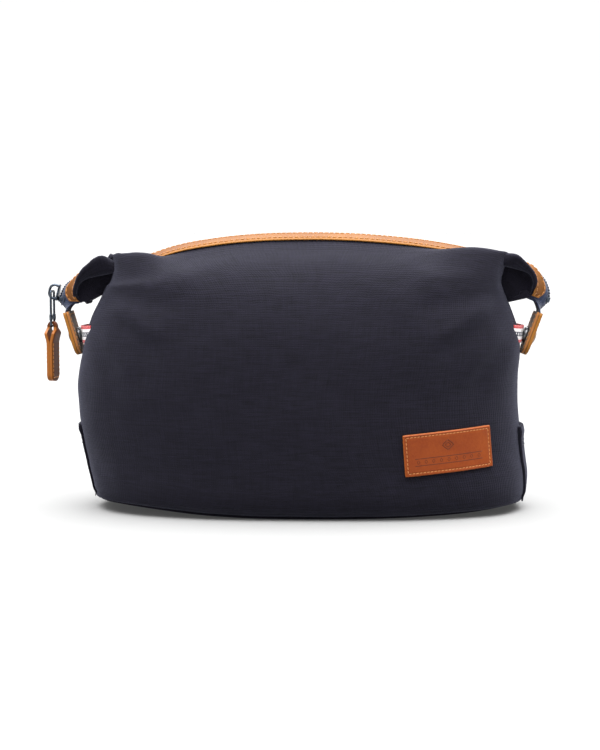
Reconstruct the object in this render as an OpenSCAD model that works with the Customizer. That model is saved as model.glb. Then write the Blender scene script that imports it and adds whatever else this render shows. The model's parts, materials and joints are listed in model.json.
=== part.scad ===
// Shaving kit bag: a stuffed canvas body with a zipped mouth, folded-down ends
// held by leather snap tabs, and a leather label. Millimetres, +Z up, +X to the
// bag's right, -Y is the front. The origin is the middle of the resting face.

/* [Body] */
// Width of the stuffed body at its widest
body_w = 266; // [240:1:290]
// Depth of the stuffed body at its widest
body_d = 129; // [115:1:140]
// Height of the canvas edge beside the zip, at the middle of the bag
canvas_h = 160.5; // [155:0.5:166]
// Thickness of the canvas shell
canvas_t = 1.4; // [1:0.1:2]
// Thickness of the lining
lining_t = 0.5; // [0.4:0.1:0.8]
// Height of the turned-up base ends
base_end_h = 50; // [40:1:60]

/* [Mouth and zip] */
// Height of the zip chain at the middle of the bag
ridge_z = 164; // [160:0.5:168]
// Half length of each opening lip
lip_half = 92; // [80:1:96]
// Width of each leather strip beside the zip
trim_w = 11; // [9:0.5:12]
// Thickness of the leather
leather_t = 1.6; // [1.2:0.1:2]
// Half of the gap between the two leather strips
trim_gap = 6; // [5:0.5:7]
// Radius of the zip coil bead
coil_r = 1.25; // [1:0.05:1.4]

/* [Folded ends] */
// Distance from the middle to the centre of each end's fold
hub_x = 122.7; // [118:0.1:126]
// Height of the centre of each end's fold
hub_z = 124; // [121:0.5:127]
// Radius of the zip chain around the fold
fold_r = 23.5; // [23:0.5:25]
// Angle round the fold at which the loose end begins to hinge
hinge_a = 20; // [15:1:30]
// Angle round the fold at which the zip ends
end_a = 96; // [94:0.5:97]

/* [Snap tabs] */
// Length of a tab
tab_l = 28; // [24:1:32]
// Width of a tab
tab_w = 20; // [18:1:24]
// Lean of the left tab from vertical
tab_lean_left = 16; // [8:1:24]
// Lean of the right tab from vertical
tab_lean_right = 20; // [8:1:24]
// Distance from the tab's hinge to the snap
snap_l = 16.5; // [14:0.5:18]
// Width of the striped ribbon
ribbon_w = 10.4; // [8:0.2:12]

/* [Zip pull] */
// Angle round the fold at which the slider rests
slider_a = 78; // [70:1:78]
// Turn of the hanging pull towards the front
pull_yaw = 10; // [0:1:28]
// Length of the wire puller
puller_l = 21; // [18:1:24]
// Length of the leather pull
pull_l = 34; // [30:1:40]
// Width of the leather pull
pull_w = 13; // [10:0.5:14]

/* [Label] */
// Width of the leather label
label_w = 51; // [45:1:60]
// Height of the leather label
label_h = 24; // [20:1:32]
// Tilt of the label
label_tilt = 4.5; // [0:0.5:8]

/* [Hidden] */
LEFT = -1;
RIGHT = 1;
FRONT = -1;
BACK = 1;
$fn = 48;

canvas_colour = [0.13, 0.13, 0.17];
lining_colour = [0.35, 0.38, 0.45];
leather_colour = [0.78, 0.42, 0.16];
tape_colour = [0.10, 0.14, 0.25];
metal_colour = [0.30, 0.32, 0.36];
brass_colour = [0.60, 0.45, 0.25];

// The zip runs on one wide arc over the top, tangent to a tight arc at each end.
fold_drop = ridge_z - hub_z;
arch_r = (hub_x*hub_x + fold_drop*fold_drop - fold_r*fold_r) / (2*(fold_drop - fold_r));
arch_z = ridge_z - arch_r;
join_a = asin(hub_x / (arch_r - fold_r));
lip_a = asin(lip_half / arch_r);
body_gap = 0.4;
gap_a = 1;
wall_gap_a = 3.6;

// Body rows from base to mouth: height, half depth and half width as shares, and squareness.
body_rows = [
    [0.010, 0.84, 0.925, 2.7],
    [0.030, 0.91, 0.950, 2.6],
    [0.110, 0.965, 0.975, 2.45],
    [0.260, 1.00, 0.995, 2.3],
    [0.430, 1.00, 1.00, 2.3],
    [0.600, 0.955, 0.983, 2.4],
    [0.725, 0.865, 0.94, 2.6],
    [0.835, 0.725, 0.895, 2.9],
    [0.925, 0.525, 0.87, 3.5],
    [1.000, 0.235, 0.855, 5.0]];
last_row = len(body_rows) - 1;
lip_v = 6 / last_row;
panel_steps = 12;
panel_rows = 10;
lip_steps = 18;
lip_rows = 6;
slope_step = 0.5;
row_step = 0.004;

function blend4(a, b, c, d, t) =
    0.5*(2*b + (c - a)*t + (2*a - 5*b + 4*c - d)*t*t + (3*b - a - 3*c + d)*t*t*t);
function knot(k) = body_rows[max(0, min(last_row, k))];
function body_row(v) =
    let(i = min(floor(v*last_row), last_row - 1))
    blend4(knot(i - 1), knot(i), knot(i + 1), knot(i + 2), v*last_row - i);
function ease(t) = let(c = max(0, min(1, t))) c*c*(3 - 2*c);
function arch_drop(x) = arch_r - sqrt(arch_r*arch_r - x*x);
function row_height(v, x) = body_row(v)[0]*canvas_h - ease((v - lip_v)/(1 - lip_v))*arch_drop(x);
function signed_power(c, p) = sign(c)*pow(abs(c), p);

// A point of the canvas: turn 0 is the front, 90 the right side, 180 the back; v runs up.
function ring_point(turn, v) =
    let(r = body_row(v), p = 2/r[3], x = r[2]*body_w/2*signed_power(sin(turn), p))
    [x, -r[1]*body_d/2*signed_power(cos(turn), p), row_height(v, x)];
function ring_normal(turn, v) =
    let(v0 = max(0, v - row_step), v1 = min(1, v + row_step),
        n = cross(ring_point(turn + slope_step, v) - ring_point(turn - slope_step, v),
                  ring_point(turn, v1) - ring_point(turn, v0)))
    n / norm(n);
function ring_offset(turn, v, out) = ring_point(turn, v) + out*ring_normal(turn, v);
// The turn at which a row reaches a given distance from the middle.
function turn_at(x, v) =
    let(r = body_row(v)) asin(signed_power(x/(r[2]*body_w/2), r[3]/2));
// The row share at a height below the lips, found by halving the range.
function v_at(z, lo = 0, hi = 1, tries = 14) =
    let(m = (lo + hi)/2)
    tries == 0 ? m
    : body_row(m)[0]*canvas_h < z ? v_at(z, m, hi, tries - 1)
    : v_at(z, lo, m, tries - 1);

// A closed sheet between two grids of points with the same rows and columns.
module sheet(outer, inner) {
    nu = len(outer) - 1;
    nv = len(outer[0]) - 1;
    layer = (nu + 1)*(nv + 1);
    points = [for (g = [outer, inner], i = [0:nu], j = [0:nv]) g[i][j]];
    function at(i, j, k) = k*layer + i*(nv + 1) + j;
    faces = [
        for (i = [0:nu - 1], j = [0:nv - 1]) each [
            [at(i, j, 0), at(i, j + 1, 0), at(i + 1, j + 1, 0)],
            [at(i, j, 0), at(i + 1, j + 1, 0), at(i + 1, j, 0)],
            [at(i, j, 1), at(i + 1, j + 1, 1), at(i, j + 1, 1)],
            [at(i, j, 1), at(i + 1, j, 1), at(i + 1, j + 1, 1)]],
        for (i = [0:nu - 1]) each [
            [at(i, 0, 0), at(i + 1, 0, 0), at(i + 1, 0, 1)],
            [at(i, 0, 0), at(i + 1, 0, 1), at(i, 0, 1)],
            [at(i, nv, 0), at(i + 1, nv, 1), at(i + 1, nv, 0)],
            [at(i, nv, 0), at(i, nv, 1), at(i + 1, nv, 1)]],
        for (j = [0:nv - 1]) each [
            [at(0, j, 0), at(0, j + 1, 1), at(0, j + 1, 0)],
            [at(0, j, 0), at(0, j, 1), at(0, j + 1, 1)],
            [at(nu, j, 0), at(nu, j + 1, 0), at(nu, j + 1, 1)],
            [at(nu, j, 0), at(nu, j + 1, 1), at(nu, j, 1)]]];
    polyhedron(points, faces);
}

// Part of the canvas between two turns and two rows, from out0 down to out1 from its skin.
module skin(turns, rows, out0, out1) {
    sheet([for (t = turns) [for (v = rows) ring_offset(t, v, out0)]],
          [for (t = turns) [for (v = rows) ring_offset(t, v, out1)]]);
}

// Part of the upper canvas between two distances from the middle, on the front or back.
function roof_point(x, v, side, out) =
    let(t = turn_at(x, v)) ring_offset(side == FRONT ? t : 180 - t, v, out);
module roof_skin(xs, rows, side, out0, out1) {
    order = side == FRONT ? xs : [for (i = [len(xs) - 1:-1:0]) xs[i]];
    sheet([for (x = order) [for (v = rows) roof_point(x, v, side, out0)]],
          [for (x = order) [for (v = rows) roof_point(x, v, side, out1)]]);
}

function steps(a, b, n) = [for (i = [0:n]) a + (b - a)*i/n];
panel_turns = steps(-90, 90, 2*panel_steps);
panel_vs = steps(0, lip_v, panel_rows);
lining_out = -(canvas_t + 0.3);
hinge_v_gap = 0.004;

module front_panel() {
    color(canvas_colour) skin(panel_turns, panel_vs, 0, -canvas_t);
}

module back_panel() {
    color(canvas_colour) skin([for (t = panel_turns) t + 180], panel_vs, 0, -canvas_t);
}

module base_panel() {
    color(canvas_colour)
        linear_extrude(ring_point(0, 0)[2])
            polygon([for (t = [0:7.5:352.5]) let(p = ring_point(t, 0)) [p[0], p[1]]]);
}

// The base turns up at each end and is sewn over the side seam.
module base_end(side) {
    middle = side == RIGHT ? 90 : 270;
    rows = [for (v = panel_vs) if (row_height(v, body_w/2) < base_end_h) v];
    color(canvas_colour) skin(steps(middle - 30, middle + 30, 8), rows, canvas_t, 0.05);
}

// The lining is an open cup just inside the canvas, from the base to the lips.
module lining() {
    turns = [for (t = [0:7.5:352.5]) t];
    rows = steps(0.03, lip_v, panel_rows);
    n = len(turns);
    m = len(rows);
    floor_z = [ring_point(0, 0)[2] + 0.3, ring_point(0, 0)[2] + 0.3 + lining_t];
    shells = [lining_out, lining_out - lining_t];
    points = [
        for (k = [0, 1], v = rows, t = turns) ring_offset(t, v, shells[k]),
        [0, 0, floor_z[0]], [0, 0, floor_z[1]]];
    function at(i, j, k) = (k*m + j)*n + i % n;
    centre = 2*m*n;
    color(lining_colour) polyhedron(points, [
        for (i = [0:n - 1], j = [0:m - 2]) each [
            [at(i, j, 0), at(i, j + 1, 0), at(i + 1, j + 1, 0)],
            [at(i, j, 0), at(i + 1, j + 1, 0), at(i + 1, j, 0)],
            [at(i, j, 1), at(i + 1, j + 1, 1), at(i, j + 1, 1)],
            [at(i, j, 1), at(i + 1, j, 1), at(i + 1, j + 1, 1)]],
        for (i = [0:n - 1]) each [
            [at(i, m - 1, 0), at(i, m - 1, 1), at(i + 1, m - 1, 1)],
            [at(i, m - 1, 0), at(i + 1, m - 1, 1), at(i + 1, m - 1, 0)],
            [at(i, 0, 0), at(i + 1, 0, 0), centre],
            [at(i, 0, 1), centre + 1, at(i + 1, 0, 1)]]]);
}

// Canvas between a lip and a folded end: one half of a dart, from the lip's end (s = 0)
// round to the side seam (s = 1), and from the panel's top (t = 0) up to the fold.
shoulder_rows = steps(lip_v + hinge_v_gap, 1, lip_rows);
shoulder_x = lip_half + body_gap;
shoulder_turn = turn_at(shoulder_x, lip_v + hinge_v_gap);
seam_y = 0.15;
fold_line = [
    roof_point(shoulder_x, 1, FRONT, 0),
    [108, -14.6, arch_z + arch_r - arch_drop(108) - 3.4],
    [hub_x - 2, -13, hub_z + fold_r - 7],
    [hub_x - 1.5, -13.2, hub_z + 9],
    [hub_x - 0.5, -9, hub_z + 2],
    [hub_x + 5, -seam_y, hub_z - 2]];
fold_steps = len(fold_line) - 1;
function fold_point(s) =
    let(i = min(floor(s*fold_steps), fold_steps - 1))
        mix(fold_line[i], fold_line[i + 1], s*fold_steps - i);
function mix(a, b, t) = a + (b - a)*t;
function ring_start(s) =
    let(p = ring_point(mix(shoulder_turn, 90, s), lip_v + hinge_v_gap))
        [p[0], min(p[1], -seam_y), p[2]];
function dart_point(s, t) =
    let(flat = mix(ring_start(s), fold_point(s), t),
        roof = roof_point(shoulder_x, mix(lip_v + hinge_v_gap, 1, t), FRONT, 0),
        flat0 = mix(ring_start(0), fold_point(0), t))
    flat + (roof - flat0)*pow(1 - s, 2);
function dart_offset(s, t, out) =
    let(e = 0.02, s0 = max(0, s - e), s1 = min(1, s + e), t0 = max(0, t - e), t1 = min(1, t + e),
        n = cross(dart_point(s1, t) - dart_point(s0, t), dart_point(s, t1) - dart_point(s, t0)),
        p = dart_point(s, t) + out*n/norm(n))
    [max(p[0], shoulder_x), min(p[1], -seam_y), p[2]];
module dart() {
    ss = steps(0, 1, 2*fold_steps);
    ts = steps(0, 1, lip_rows);
    sheet([for (s = ss) [for (t = ts) dart_offset(s, t, 0)]],
          [for (s = ss) [for (t = ts) dart_offset(s, t, -canvas_t)]]);
}
module shoulder(side) {
    color(canvas_colour) {
        mirror([side == LEFT ? 1 : 0, 0, 0]) {
            dart();
            mirror([0, 1, 0]) dart();
        }
        for (face = [FRONT, BACK]) fold_sector(side, 0.8, hinge_a - wall_gap_a) wing_wall(face);
    }
}

module lip_canvas(side) {
    color(canvas_colour)
        roof_skin(steps(-lip_half, lip_half, lip_steps), shoulder_rows, side, 0, -canvas_t);
}

module lip_lining(side) {
    color(lining_colour)
        roof_skin(steps(-lip_half, lip_half, lip_steps), shoulder_rows, side,
                  lining_out, lining_out - lining_t);
}

// Sweeps a flat outline round the wide arc over the top. Outline x is height above
// the arc's centre line less arch_r, outline y is the distance towards the front.
module arch_sector(a0, a1) {
    translate([0, 0, arch_z]) rotate([90, 0, 0]) rotate([0, 0, 90 - a1])
        rotate_extrude(angle = a1 - a0, $fn = 256) translate([arch_r, 0]) children();
}

// The same round one end's fold, from its top outwards. Outline x is the radius.
module fold_sector(side, a0, a1) {
    mirror([side == LEFT ? 1 : 0, 0, 0])
        translate([hub_x, 0, hub_z]) rotate([90, 0, 0]) rotate([0, 0, 90 - a1])
            rotate_extrude(angle = a1 - a0, $fn = 96) children();
}

// Outlines of the zip band where it lies flat on top.
tape_t = 0.8;
trim_slope = 18;
module flat_trim() {
    translate([0.9, trim_gap]) rotate(90 + trim_slope)
        translate([0, -leather_t/2]) square([trim_w, leather_t]);
}
module flat_tape() {
    translate([-coil_r - 0.1 - tape_t, coil_r + 0.1]) square([tape_t, trim_gap + 1.3]);
}
module flat_coil() {
    translate([0, coil_r + 0.05]) circle(coil_r, $fn = 24);
}
module on_side(side) {
    if (side == FRONT) children();
    else mirror([0, 1, 0]) children();
}

// Outlines of the folded end, where the band is bent over to a steep V.
flank_lean = 38;
flank_y = 5.6;
wing_coil_gap = 0.5;
canvas_end_a = end_a - 8;
trim_end_a = end_a - 4;
module wing_wall(side) {
    on_side(side) polygon([
        [fold_r - 8.4, 11.5], [fold_r - 10, 12.8], [10, 13.6], [5, 11.2],
        [5.6, 10], [10, 12.2], [fold_r - 10.6, 11.5], [fold_r - 9.1, 10.4]]);
}
module flank_strip(from, length, thick, depth) {
    translate([fold_r, flank_y]) rotate(180 - flank_lean)
        translate([from, depth]) square([length, thick]);
}
module wing_trim_outline(side) {
    on_side(side) flank_strip(0.6, trim_w - 1, leather_t, -leather_t);
}
module wing_tape_outline(side) {
    on_side(side) {
        translate([fold_r - tape_t/2, wing_coil_gap + 2*coil_r + 0.2])
            square([tape_t, flank_y - 2*coil_r - 0.5]);
        flank_strip(0, 8.6, tape_t, 0.3);
    }
}

module band(side) {
    color(leather_colour) arch_sector(-lip_a, lip_a) on_side(side) flat_trim();
}
module zip_tape(side) {
    color(tape_colour) arch_sector(-lip_a, lip_a) on_side(side) flat_tape();
}
module zip_coil(side) {
    color(tape_colour) arch_sector(-lip_a, lip_a) on_side(side) flat_coil();
}

// The short stretches of the band between the lips and the loose ends: one piece on the
// wide arc and one on the fold, with a hairline between them.
shoulder_gap_a = 0.06;
hairline_a = 0.2;
module shoulder_band() {
    for (side = [FRONT, BACK]) {
        arch_sector(lip_a + shoulder_gap_a, join_a) on_side(side) children();
        arch_sector(-join_a, -lip_a - shoulder_gap_a) on_side(side) children();
        for (end = [LEFT, RIGHT])
            fold_sector(end, join_a + hairline_a, hinge_a - gap_a)
                translate([fold_r, 0]) on_side(side) children();
    }
}
module shoulder_trim() { color(leather_colour) shoulder_band() flat_trim(); }
module shoulder_tape() { color(tape_colour) shoulder_band() flat_tape(); }
module shoulder_coil() { color(tape_colour) shoulder_band() flat_coil(); }

module wing_canvas(side) {
    color(canvas_colour) for (face = [FRONT, BACK])
        fold_sector(side, hinge_a, canvas_end_a) wing_wall(face);
}
module wing_trim(side) {
    color(leather_colour) for (face = [FRONT, BACK])
        fold_sector(side, hinge_a, trim_end_a) wing_trim_outline(face);
}
module wing_tape(side) {
    color(tape_colour) for (face = [FRONT, BACK])
        fold_sector(side, hinge_a, end_a) wing_tape_outline(face);
}
module wing_coil(side) {
    color(tape_colour)
        for (face = [FRONT, BACK])
            fold_sector(side, hinge_a, end_a - 4)
                translate([fold_r, 0]) on_side(face) translate([0, wing_coil_gap]) flat_coil();
}
module zip_top_stops() {
    color(metal_colour)
        for (face = [FRONT, BACK])
            fold_sector(LEFT, end_a - 3.6, end_a)
                translate([fold_r - 1.3, 0]) on_side(face)
                    translate([0, wing_coil_gap]) square([2.6, 2.3]);
}
module zip_bottom_stop() {
    color(metal_colour)
        fold_sector(RIGHT, end_a - 3.6, end_a) translate([fold_r - 1.3, -2.8]) square([2.6, 5.6]);
}

// Slider, puller and leather pull, drawn at the top of the fold and turned down to rest.
slider_l = 10;
slider_w = 9;
plate_t = 1.1;
slot_half = coil_r + 0.35;
// The lower plate is flat under a curved coil, so it lies lower by the curve's depth.
under_gap = slider_l*slider_l/(8*fold_r) + 0.1;
post_t = 0.4;
crown_r = 2;
crown_rise = 1.35;
crown_w = 1.3;
crown_wall = 0.9;
crown_z = fold_r + slot_half + plate_t + crown_rise + crown_r;
wire_r = 0.75;
module at_slider() {
    translate([-hub_x, 0, hub_z]) rotate([0, -slider_a, 0]) children();
}
module slider_plate(z) {
    translate([-slider_l/2, 0, z]) linear_extrude(plate_t)
        polygon([[0, -slider_w/2], [3.5, -slider_w/2], [8, -3.4], [slider_l, -2.6],
                 [slider_l, 2.6], [8, 3.4], [3.5, slider_w/2], [0, slider_w/2]]);
}
module slider_body() {
    color(metal_colour) at_slider() {
        slider_plate(fold_r + slot_half);
        slider_plate(fold_r - slot_half - under_gap - plate_t);
        translate([-slider_l/2, -post_t/2, fold_r - slot_half - under_gap - 0.1])
            cube([2, post_t, 2*slot_half + under_gap + 0.2]);
        difference() {
            translate([-3.4, -crown_w/2, fold_r + slot_half + plate_t - 0.1])
                cube([6.8, crown_w, crown_rise + 2*crown_r + crown_wall]);
            translate([0, 2, crown_z]) rotate([90, 0, 0]) cylinder(r = crown_r, h = 4);
        }
    }
}

// The eye's place, from which the pull hangs straight down.
eye_x = -hub_x - crown_z*sin(slider_a);
eye_z = hub_z + crown_z*cos(slider_a);
module at_eye() {
    translate([eye_x, 0, eye_z]) rotate([0, 0, -pull_yaw]) children();
}
frame_w = 5.8;
module wire(l) { cylinder(r = wire_r, h = l, $fn = 16); }
module puller_frame() {
    color(metal_colour) at_eye() {
        rotate([90, 0, 0]) translate([0, 0, -frame_w/2]) wire(frame_w);
        translate([0, 0, -puller_l]) rotate([90, 0, 0]) translate([0, 0, -frame_w/2]) wire(frame_w);
        for (y = [-1, 1]) {
            translate([0, y*frame_w/2, -puller_l]) wire(puller_l);
            for (z = [0, -puller_l]) translate([0, y*frame_w/2, z]) sphere(wire_r, $fn = 16);
        }
    }
}

// One strap folded round the puller's lower bar and sewn to itself.
loop_r = wire_r + 0.45;
strap_t = 2;
module pull_leather() {
    color(leather_colour) at_eye() translate([0, 0, -puller_l]) {
        rotate([90, 0, 0]) difference() {
            union() {
                translate([0, 0, -frame_w/2 + 1]) cylinder(r = loop_r + strap_t, h = frame_w - 2);
                translate([-strap_t, -pull_l + pull_w/2, -pull_w/2])
                    cube([2*strap_t, pull_l - pull_w/2 - loop_r - 0.5, pull_w]);
                translate([-strap_t, -pull_l + pull_w/2, 0]) rotate([0, 90, 0])
                    cylinder(r = pull_w/2, h = 2*strap_t);
            }
            translate([0, 0, -frame_w]) cylinder(r = loop_r, h = 2*frame_w);
        }
    }
}
module pull_thread() {
    color(leather_colour) at_eye() translate([0, 0, -puller_l])
        for (x = [-strap_t - 0.3, strap_t], y = [-1, 1])
            translate([x, y*(pull_w/2 - 1.6) - 0.25, -pull_l + 8]) cube([0.3, 0.5, pull_l - 13]);
}

// The tab's hinge lies at the end of the fold. Tabs are drawn for the right side:
// local X points out from the bag, Z up along the tab, and the hinge is the origin.
tab_hinge_r = 19.5;
tab_hinge_drop = 5;
function lean(side) = side == LEFT ? tab_lean_left : tab_lean_right;
module at_tab(side) {
    mirror([side == LEFT ? 1 : 0, 0, 0])
        translate([hub_x + tab_hinge_r, 0, hub_z - tab_hinge_drop])
            rotate([0, lean(side), 0]) children();
}
module along_snap(x) { translate([x, 0, -snap_l]) rotate([0, 90, 0]) children(); }
post_r = 1.6;
backing_t = 1.2;
module tab_layer(x, t, l, top) {
    difference() {
        translate([x, 0, 0]) rotate([0, 90, 0]) linear_extrude(t) {
            translate([-top, -tab_w/2]) square([l - tab_w/2 + top, tab_w]);
            translate([l - tab_w/2, 0]) intersection() {
                circle(tab_w/2*1.12);
                translate([-tab_w, -tab_w/2]) square([2*tab_w - tab_w/2, tab_w]);
            }
        }
        along_snap(x - 1) cylinder(r = post_r + 0.05, h = t + 2);
    }
}
module tab_leather(side) {
    color(leather_colour) at_tab(side) tab_layer(0, leather_t, tab_l, -1.2);
}
module tab_backing(side) {
    color([0.55, 0.45, 0.36]) at_tab(side) tab_layer(-backing_t, backing_t, tab_l, -1.2);
}
module snap_cap(side) {
    color(brass_colour) at_tab(side) {
        along_snap(leather_t) rotate_extrude()
            polygon([[0, 0], [5.2, 0], [5.4, 0.4], [4.6, 1.2], [3, 1.75], [0, 2]]);
        along_snap(-backing_t - 0.5) cylinder(r = post_r, h = leather_t + backing_t + 0.5);
    }
}
socket_h = 1.6;
module snap_socket(side) {
    color(metal_colour) at_tab(side) difference() {
        along_snap(-backing_t - 0.5 - socket_h) cylinder(r = 4.8, h = socket_h + 0.5);
        along_snap(-backing_t - 0.5 - socket_h - 1) cylinder(r = 3.6, h = socket_h + 1);
        along_snap(-backing_t - 0.6) cylinder(r = post_r + 0.05, h = 1);
    }
}

// Stud, ribbon and back plate, stacked inwards from the socket's rim.
rim_x = -backing_t - 0.5 - socket_h;
flange_x = rim_x - 0.3 - 0.5;
ribbon_t = 0.9;
ribbon_r = 26;
back_t = 0.5;
back_gap = 0.3;
function ribbon_reach(side) = side == LEFT ? 44 : 39;
module snap_stud(side) {
    color(metal_colour) at_tab(side) {
        along_snap(flange_x) cylinder(r = 4.4, h = 0.5);
        along_snap(flange_x + 0.5) cylinder(r = 2.4, h = 1.1);
        along_snap(flange_x - ribbon_t - back_gap) cylinder(r = post_r, h = ribbon_t + back_gap);
    }
}
module stud_back(side) {
    color(metal_colour) at_tab(side)
        along_snap(flange_x - ribbon_t - back_gap - back_t) cylinder(r = 3.4, h = back_t);
}
module ribbon(side) {
    color([0.85, 0.3, 0.3]) at_tab(side) difference() {
        translate([flange_x - ribbon_r, 0, -snap_l - ribbon_w/2]) rotate([0, 0, -ribbon_reach(side)])
            rotate_extrude(angle = 2*ribbon_reach(side), $fn = 96)
                translate([ribbon_r - ribbon_t, 0]) square([ribbon_t, ribbon_w]);
        along_snap(flange_x - 2) cylinder(r = post_r + 0.05, h = 4);
    }
}

// The label lies on the front canvas near the lower right corner.
label_x = 84.8;
label_z = 40.2;
label_lift = 0.3;
function label_point(p, q, out) =
    let(x = label_x + p*cos(label_tilt) - q*sin(label_tilt),
        v = v_at(label_z + p*sin(label_tilt) + q*cos(label_tilt)))
    ring_offset(turn_at(x, v), v, out);
module label_patch() {
    ps = steps(-label_w/2, label_w/2, 8);
    qs = steps(-label_h/2, label_h/2, 4);
    color(leather_colour)
        sheet([for (p = ps) [for (q = qs) label_point(p, q, label_lift + leather_t)]],
              [for (p = ps) [for (q = qs) label_point(p, q, label_lift)]]);
}

front_panel();
back_panel();
base_panel();
base_end(LEFT);  // left_base_end
base_end(RIGHT);  // right_base_end
lining();
shoulder(LEFT);  // left_shoulder
shoulder(RIGHT);  // right_shoulder
shoulder_trim();
shoulder_tape();
shoulder_coil();
label_patch();
ribbon(LEFT);  // left_ribbon
ribbon(RIGHT);  // right_ribbon
snap_stud(LEFT);  // left_snap_stud
snap_stud(RIGHT);  // right_snap_stud
stud_back(LEFT);  // left_stud_back
stud_back(RIGHT);  // right_stud_back
lip_canvas(FRONT);  // front_lip_canvas
lip_lining(FRONT);  // front_lip_lining
band(FRONT);  // front_trim
zip_tape(FRONT);  // front_zip_tape
zip_coil(FRONT);  // front_zip_coil
lip_canvas(BACK);  // back_lip_canvas
lip_lining(BACK);  // back_lip_lining
band(BACK);  // back_trim
zip_tape(BACK);  // back_zip_tape
zip_coil(BACK);  // back_zip_coil
wing_canvas(LEFT);  // left_wing_canvas
wing_trim(LEFT);  // left_wing_trim
wing_tape(LEFT);  // left_wing_tape
wing_coil(LEFT);  // left_wing_coil
zip_top_stops();
wing_canvas(RIGHT);  // right_wing_canvas
wing_trim(RIGHT);  // right_wing_trim
wing_tape(RIGHT);  // right_wing_tape
wing_coil(RIGHT);  // right_wing_coil
zip_bottom_stop();
slider_body();
puller_frame();
pull_leather();
pull_thread();
tab_leather(LEFT);  // left_tab_leather
tab_backing(LEFT);  // left_tab_backing
snap_cap(LEFT);  // left_snap_cap
snap_socket(LEFT);  // left_snap_socket
tab_leather(RIGHT);  // right_tab_leather
tab_backing(RIGHT);  // right_tab_backing
snap_cap(RIGHT);  // right_snap_cap
snap_socket(RIGHT);  // right_snap_socket
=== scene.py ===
"""The shaving kit bag's looks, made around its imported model.

Shapes are in millimetres and are scaled to metres when a mesh is made.
"""

import json
import math

import bmesh
import bpy
import numpy as np
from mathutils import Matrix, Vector, noise


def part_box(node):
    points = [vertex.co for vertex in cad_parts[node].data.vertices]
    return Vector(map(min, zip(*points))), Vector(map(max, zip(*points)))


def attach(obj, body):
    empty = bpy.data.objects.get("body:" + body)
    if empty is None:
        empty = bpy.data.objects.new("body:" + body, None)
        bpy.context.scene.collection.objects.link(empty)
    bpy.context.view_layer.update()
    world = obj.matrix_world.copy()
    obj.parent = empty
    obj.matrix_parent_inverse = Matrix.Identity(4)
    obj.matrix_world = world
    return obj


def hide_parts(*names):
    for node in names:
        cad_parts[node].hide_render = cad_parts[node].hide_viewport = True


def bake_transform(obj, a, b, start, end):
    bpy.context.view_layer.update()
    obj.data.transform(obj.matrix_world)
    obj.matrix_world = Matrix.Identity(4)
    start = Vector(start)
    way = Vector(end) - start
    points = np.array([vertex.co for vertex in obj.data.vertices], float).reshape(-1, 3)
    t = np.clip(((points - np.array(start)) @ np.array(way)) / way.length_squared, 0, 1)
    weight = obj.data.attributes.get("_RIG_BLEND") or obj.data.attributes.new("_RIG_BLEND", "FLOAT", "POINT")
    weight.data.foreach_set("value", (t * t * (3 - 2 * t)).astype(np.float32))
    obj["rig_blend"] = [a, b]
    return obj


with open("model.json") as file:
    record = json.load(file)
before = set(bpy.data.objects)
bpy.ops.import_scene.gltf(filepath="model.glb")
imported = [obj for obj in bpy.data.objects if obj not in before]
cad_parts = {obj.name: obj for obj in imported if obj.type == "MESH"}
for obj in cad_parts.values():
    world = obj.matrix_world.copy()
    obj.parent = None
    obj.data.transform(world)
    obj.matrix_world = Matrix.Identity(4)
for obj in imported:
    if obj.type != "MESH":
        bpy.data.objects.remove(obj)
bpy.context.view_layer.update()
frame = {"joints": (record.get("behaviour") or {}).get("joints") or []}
MM = 0.001


# ---------------------------------------------------------------- sizes

def node_box(name):
    low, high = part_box(name)
    return np.array(low) / MM, np.array(high) / MM


def joint_place(name):
    joint = next(j for j in frame["joints"] if j["name"] == name)
    return np.array(joint["pos_m"]) / MM


LEFT, RIGHT = -1, 1
FRONT, BACK = -1, 1
SIDES = ((LEFT, "left"), (RIGHT, "right"))
FACES = ((FRONT, "front"), (BACK, "back"))
BODY_LOW, BODY_HIGH = node_box("front_panel")
BODY_HALF_W = BODY_HIGH[0]
BODY_HALF_D = -BODY_LOW[1]
CANVAS_T = 1.4
LIP_HALF = node_box("front_lip_canvas")[1][0]
LIP_HINGE = joint_place("front_lip_open")
HUB = abs(joint_place("slider_travel"))
COIL_R = 1.25
RIDGE_Z = node_box("front_zip_coil")[1][2] - COIL_R
FOLD_R = 23.5
SLIDER_A = math.radians(78)
TAB_W = node_box("left_tab_leather")[1][1] * 2
LEATHER_T = 1.6
TRIM_W = 11.0

# The zip runs on a wide arc over the top, tangent to a tight arc at each end.
FOLD_DROP = RIDGE_Z - HUB[2]
ARCH_R = (HUB[0]**2 + FOLD_DROP**2 - FOLD_R**2) / (2 * (FOLD_DROP - FOLD_R))
ARCH_Z = RIDGE_Z - ARCH_R
JOIN_A = math.asin(HUB[0] / (ARCH_R - FOLD_R))

# Body rows from base to mouth: height, half depth and half width as shares, and squareness.
ROWS = np.array([
    [0.010, 0.84, 0.925, 2.7],
    [0.030, 0.91, 0.950, 2.6],
    [0.110, 0.965, 0.975, 2.45],
    [0.260, 1.00, 0.995, 2.3],
    [0.430, 1.00, 1.00, 2.3],
    [0.600, 0.955, 0.983, 2.4],
    [0.725, 0.865, 0.94, 2.6],
    [0.835, 0.725, 0.895, 3.2],
    [0.925, 0.525, 0.87, 5.0],
    [1.000, 0.235, 0.855, 7.0]])
LAST_ROW = len(ROWS) - 1
LIP_V = 6 / LAST_ROW
CANVAS_H = LIP_HINGE[2] / ROWS[6][0]


# ---------------------------------------------------------------- small maths

def ease(t):
    t = np.clip(t, 0.0, 1.0)
    return t * t * (3 - 2 * t)


def mix(a, b, t):
    return a + (b - a) * t


def unit(v):
    return v / np.maximum(np.linalg.norm(v, axis=-1, keepdims=True), 1e-9)


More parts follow.
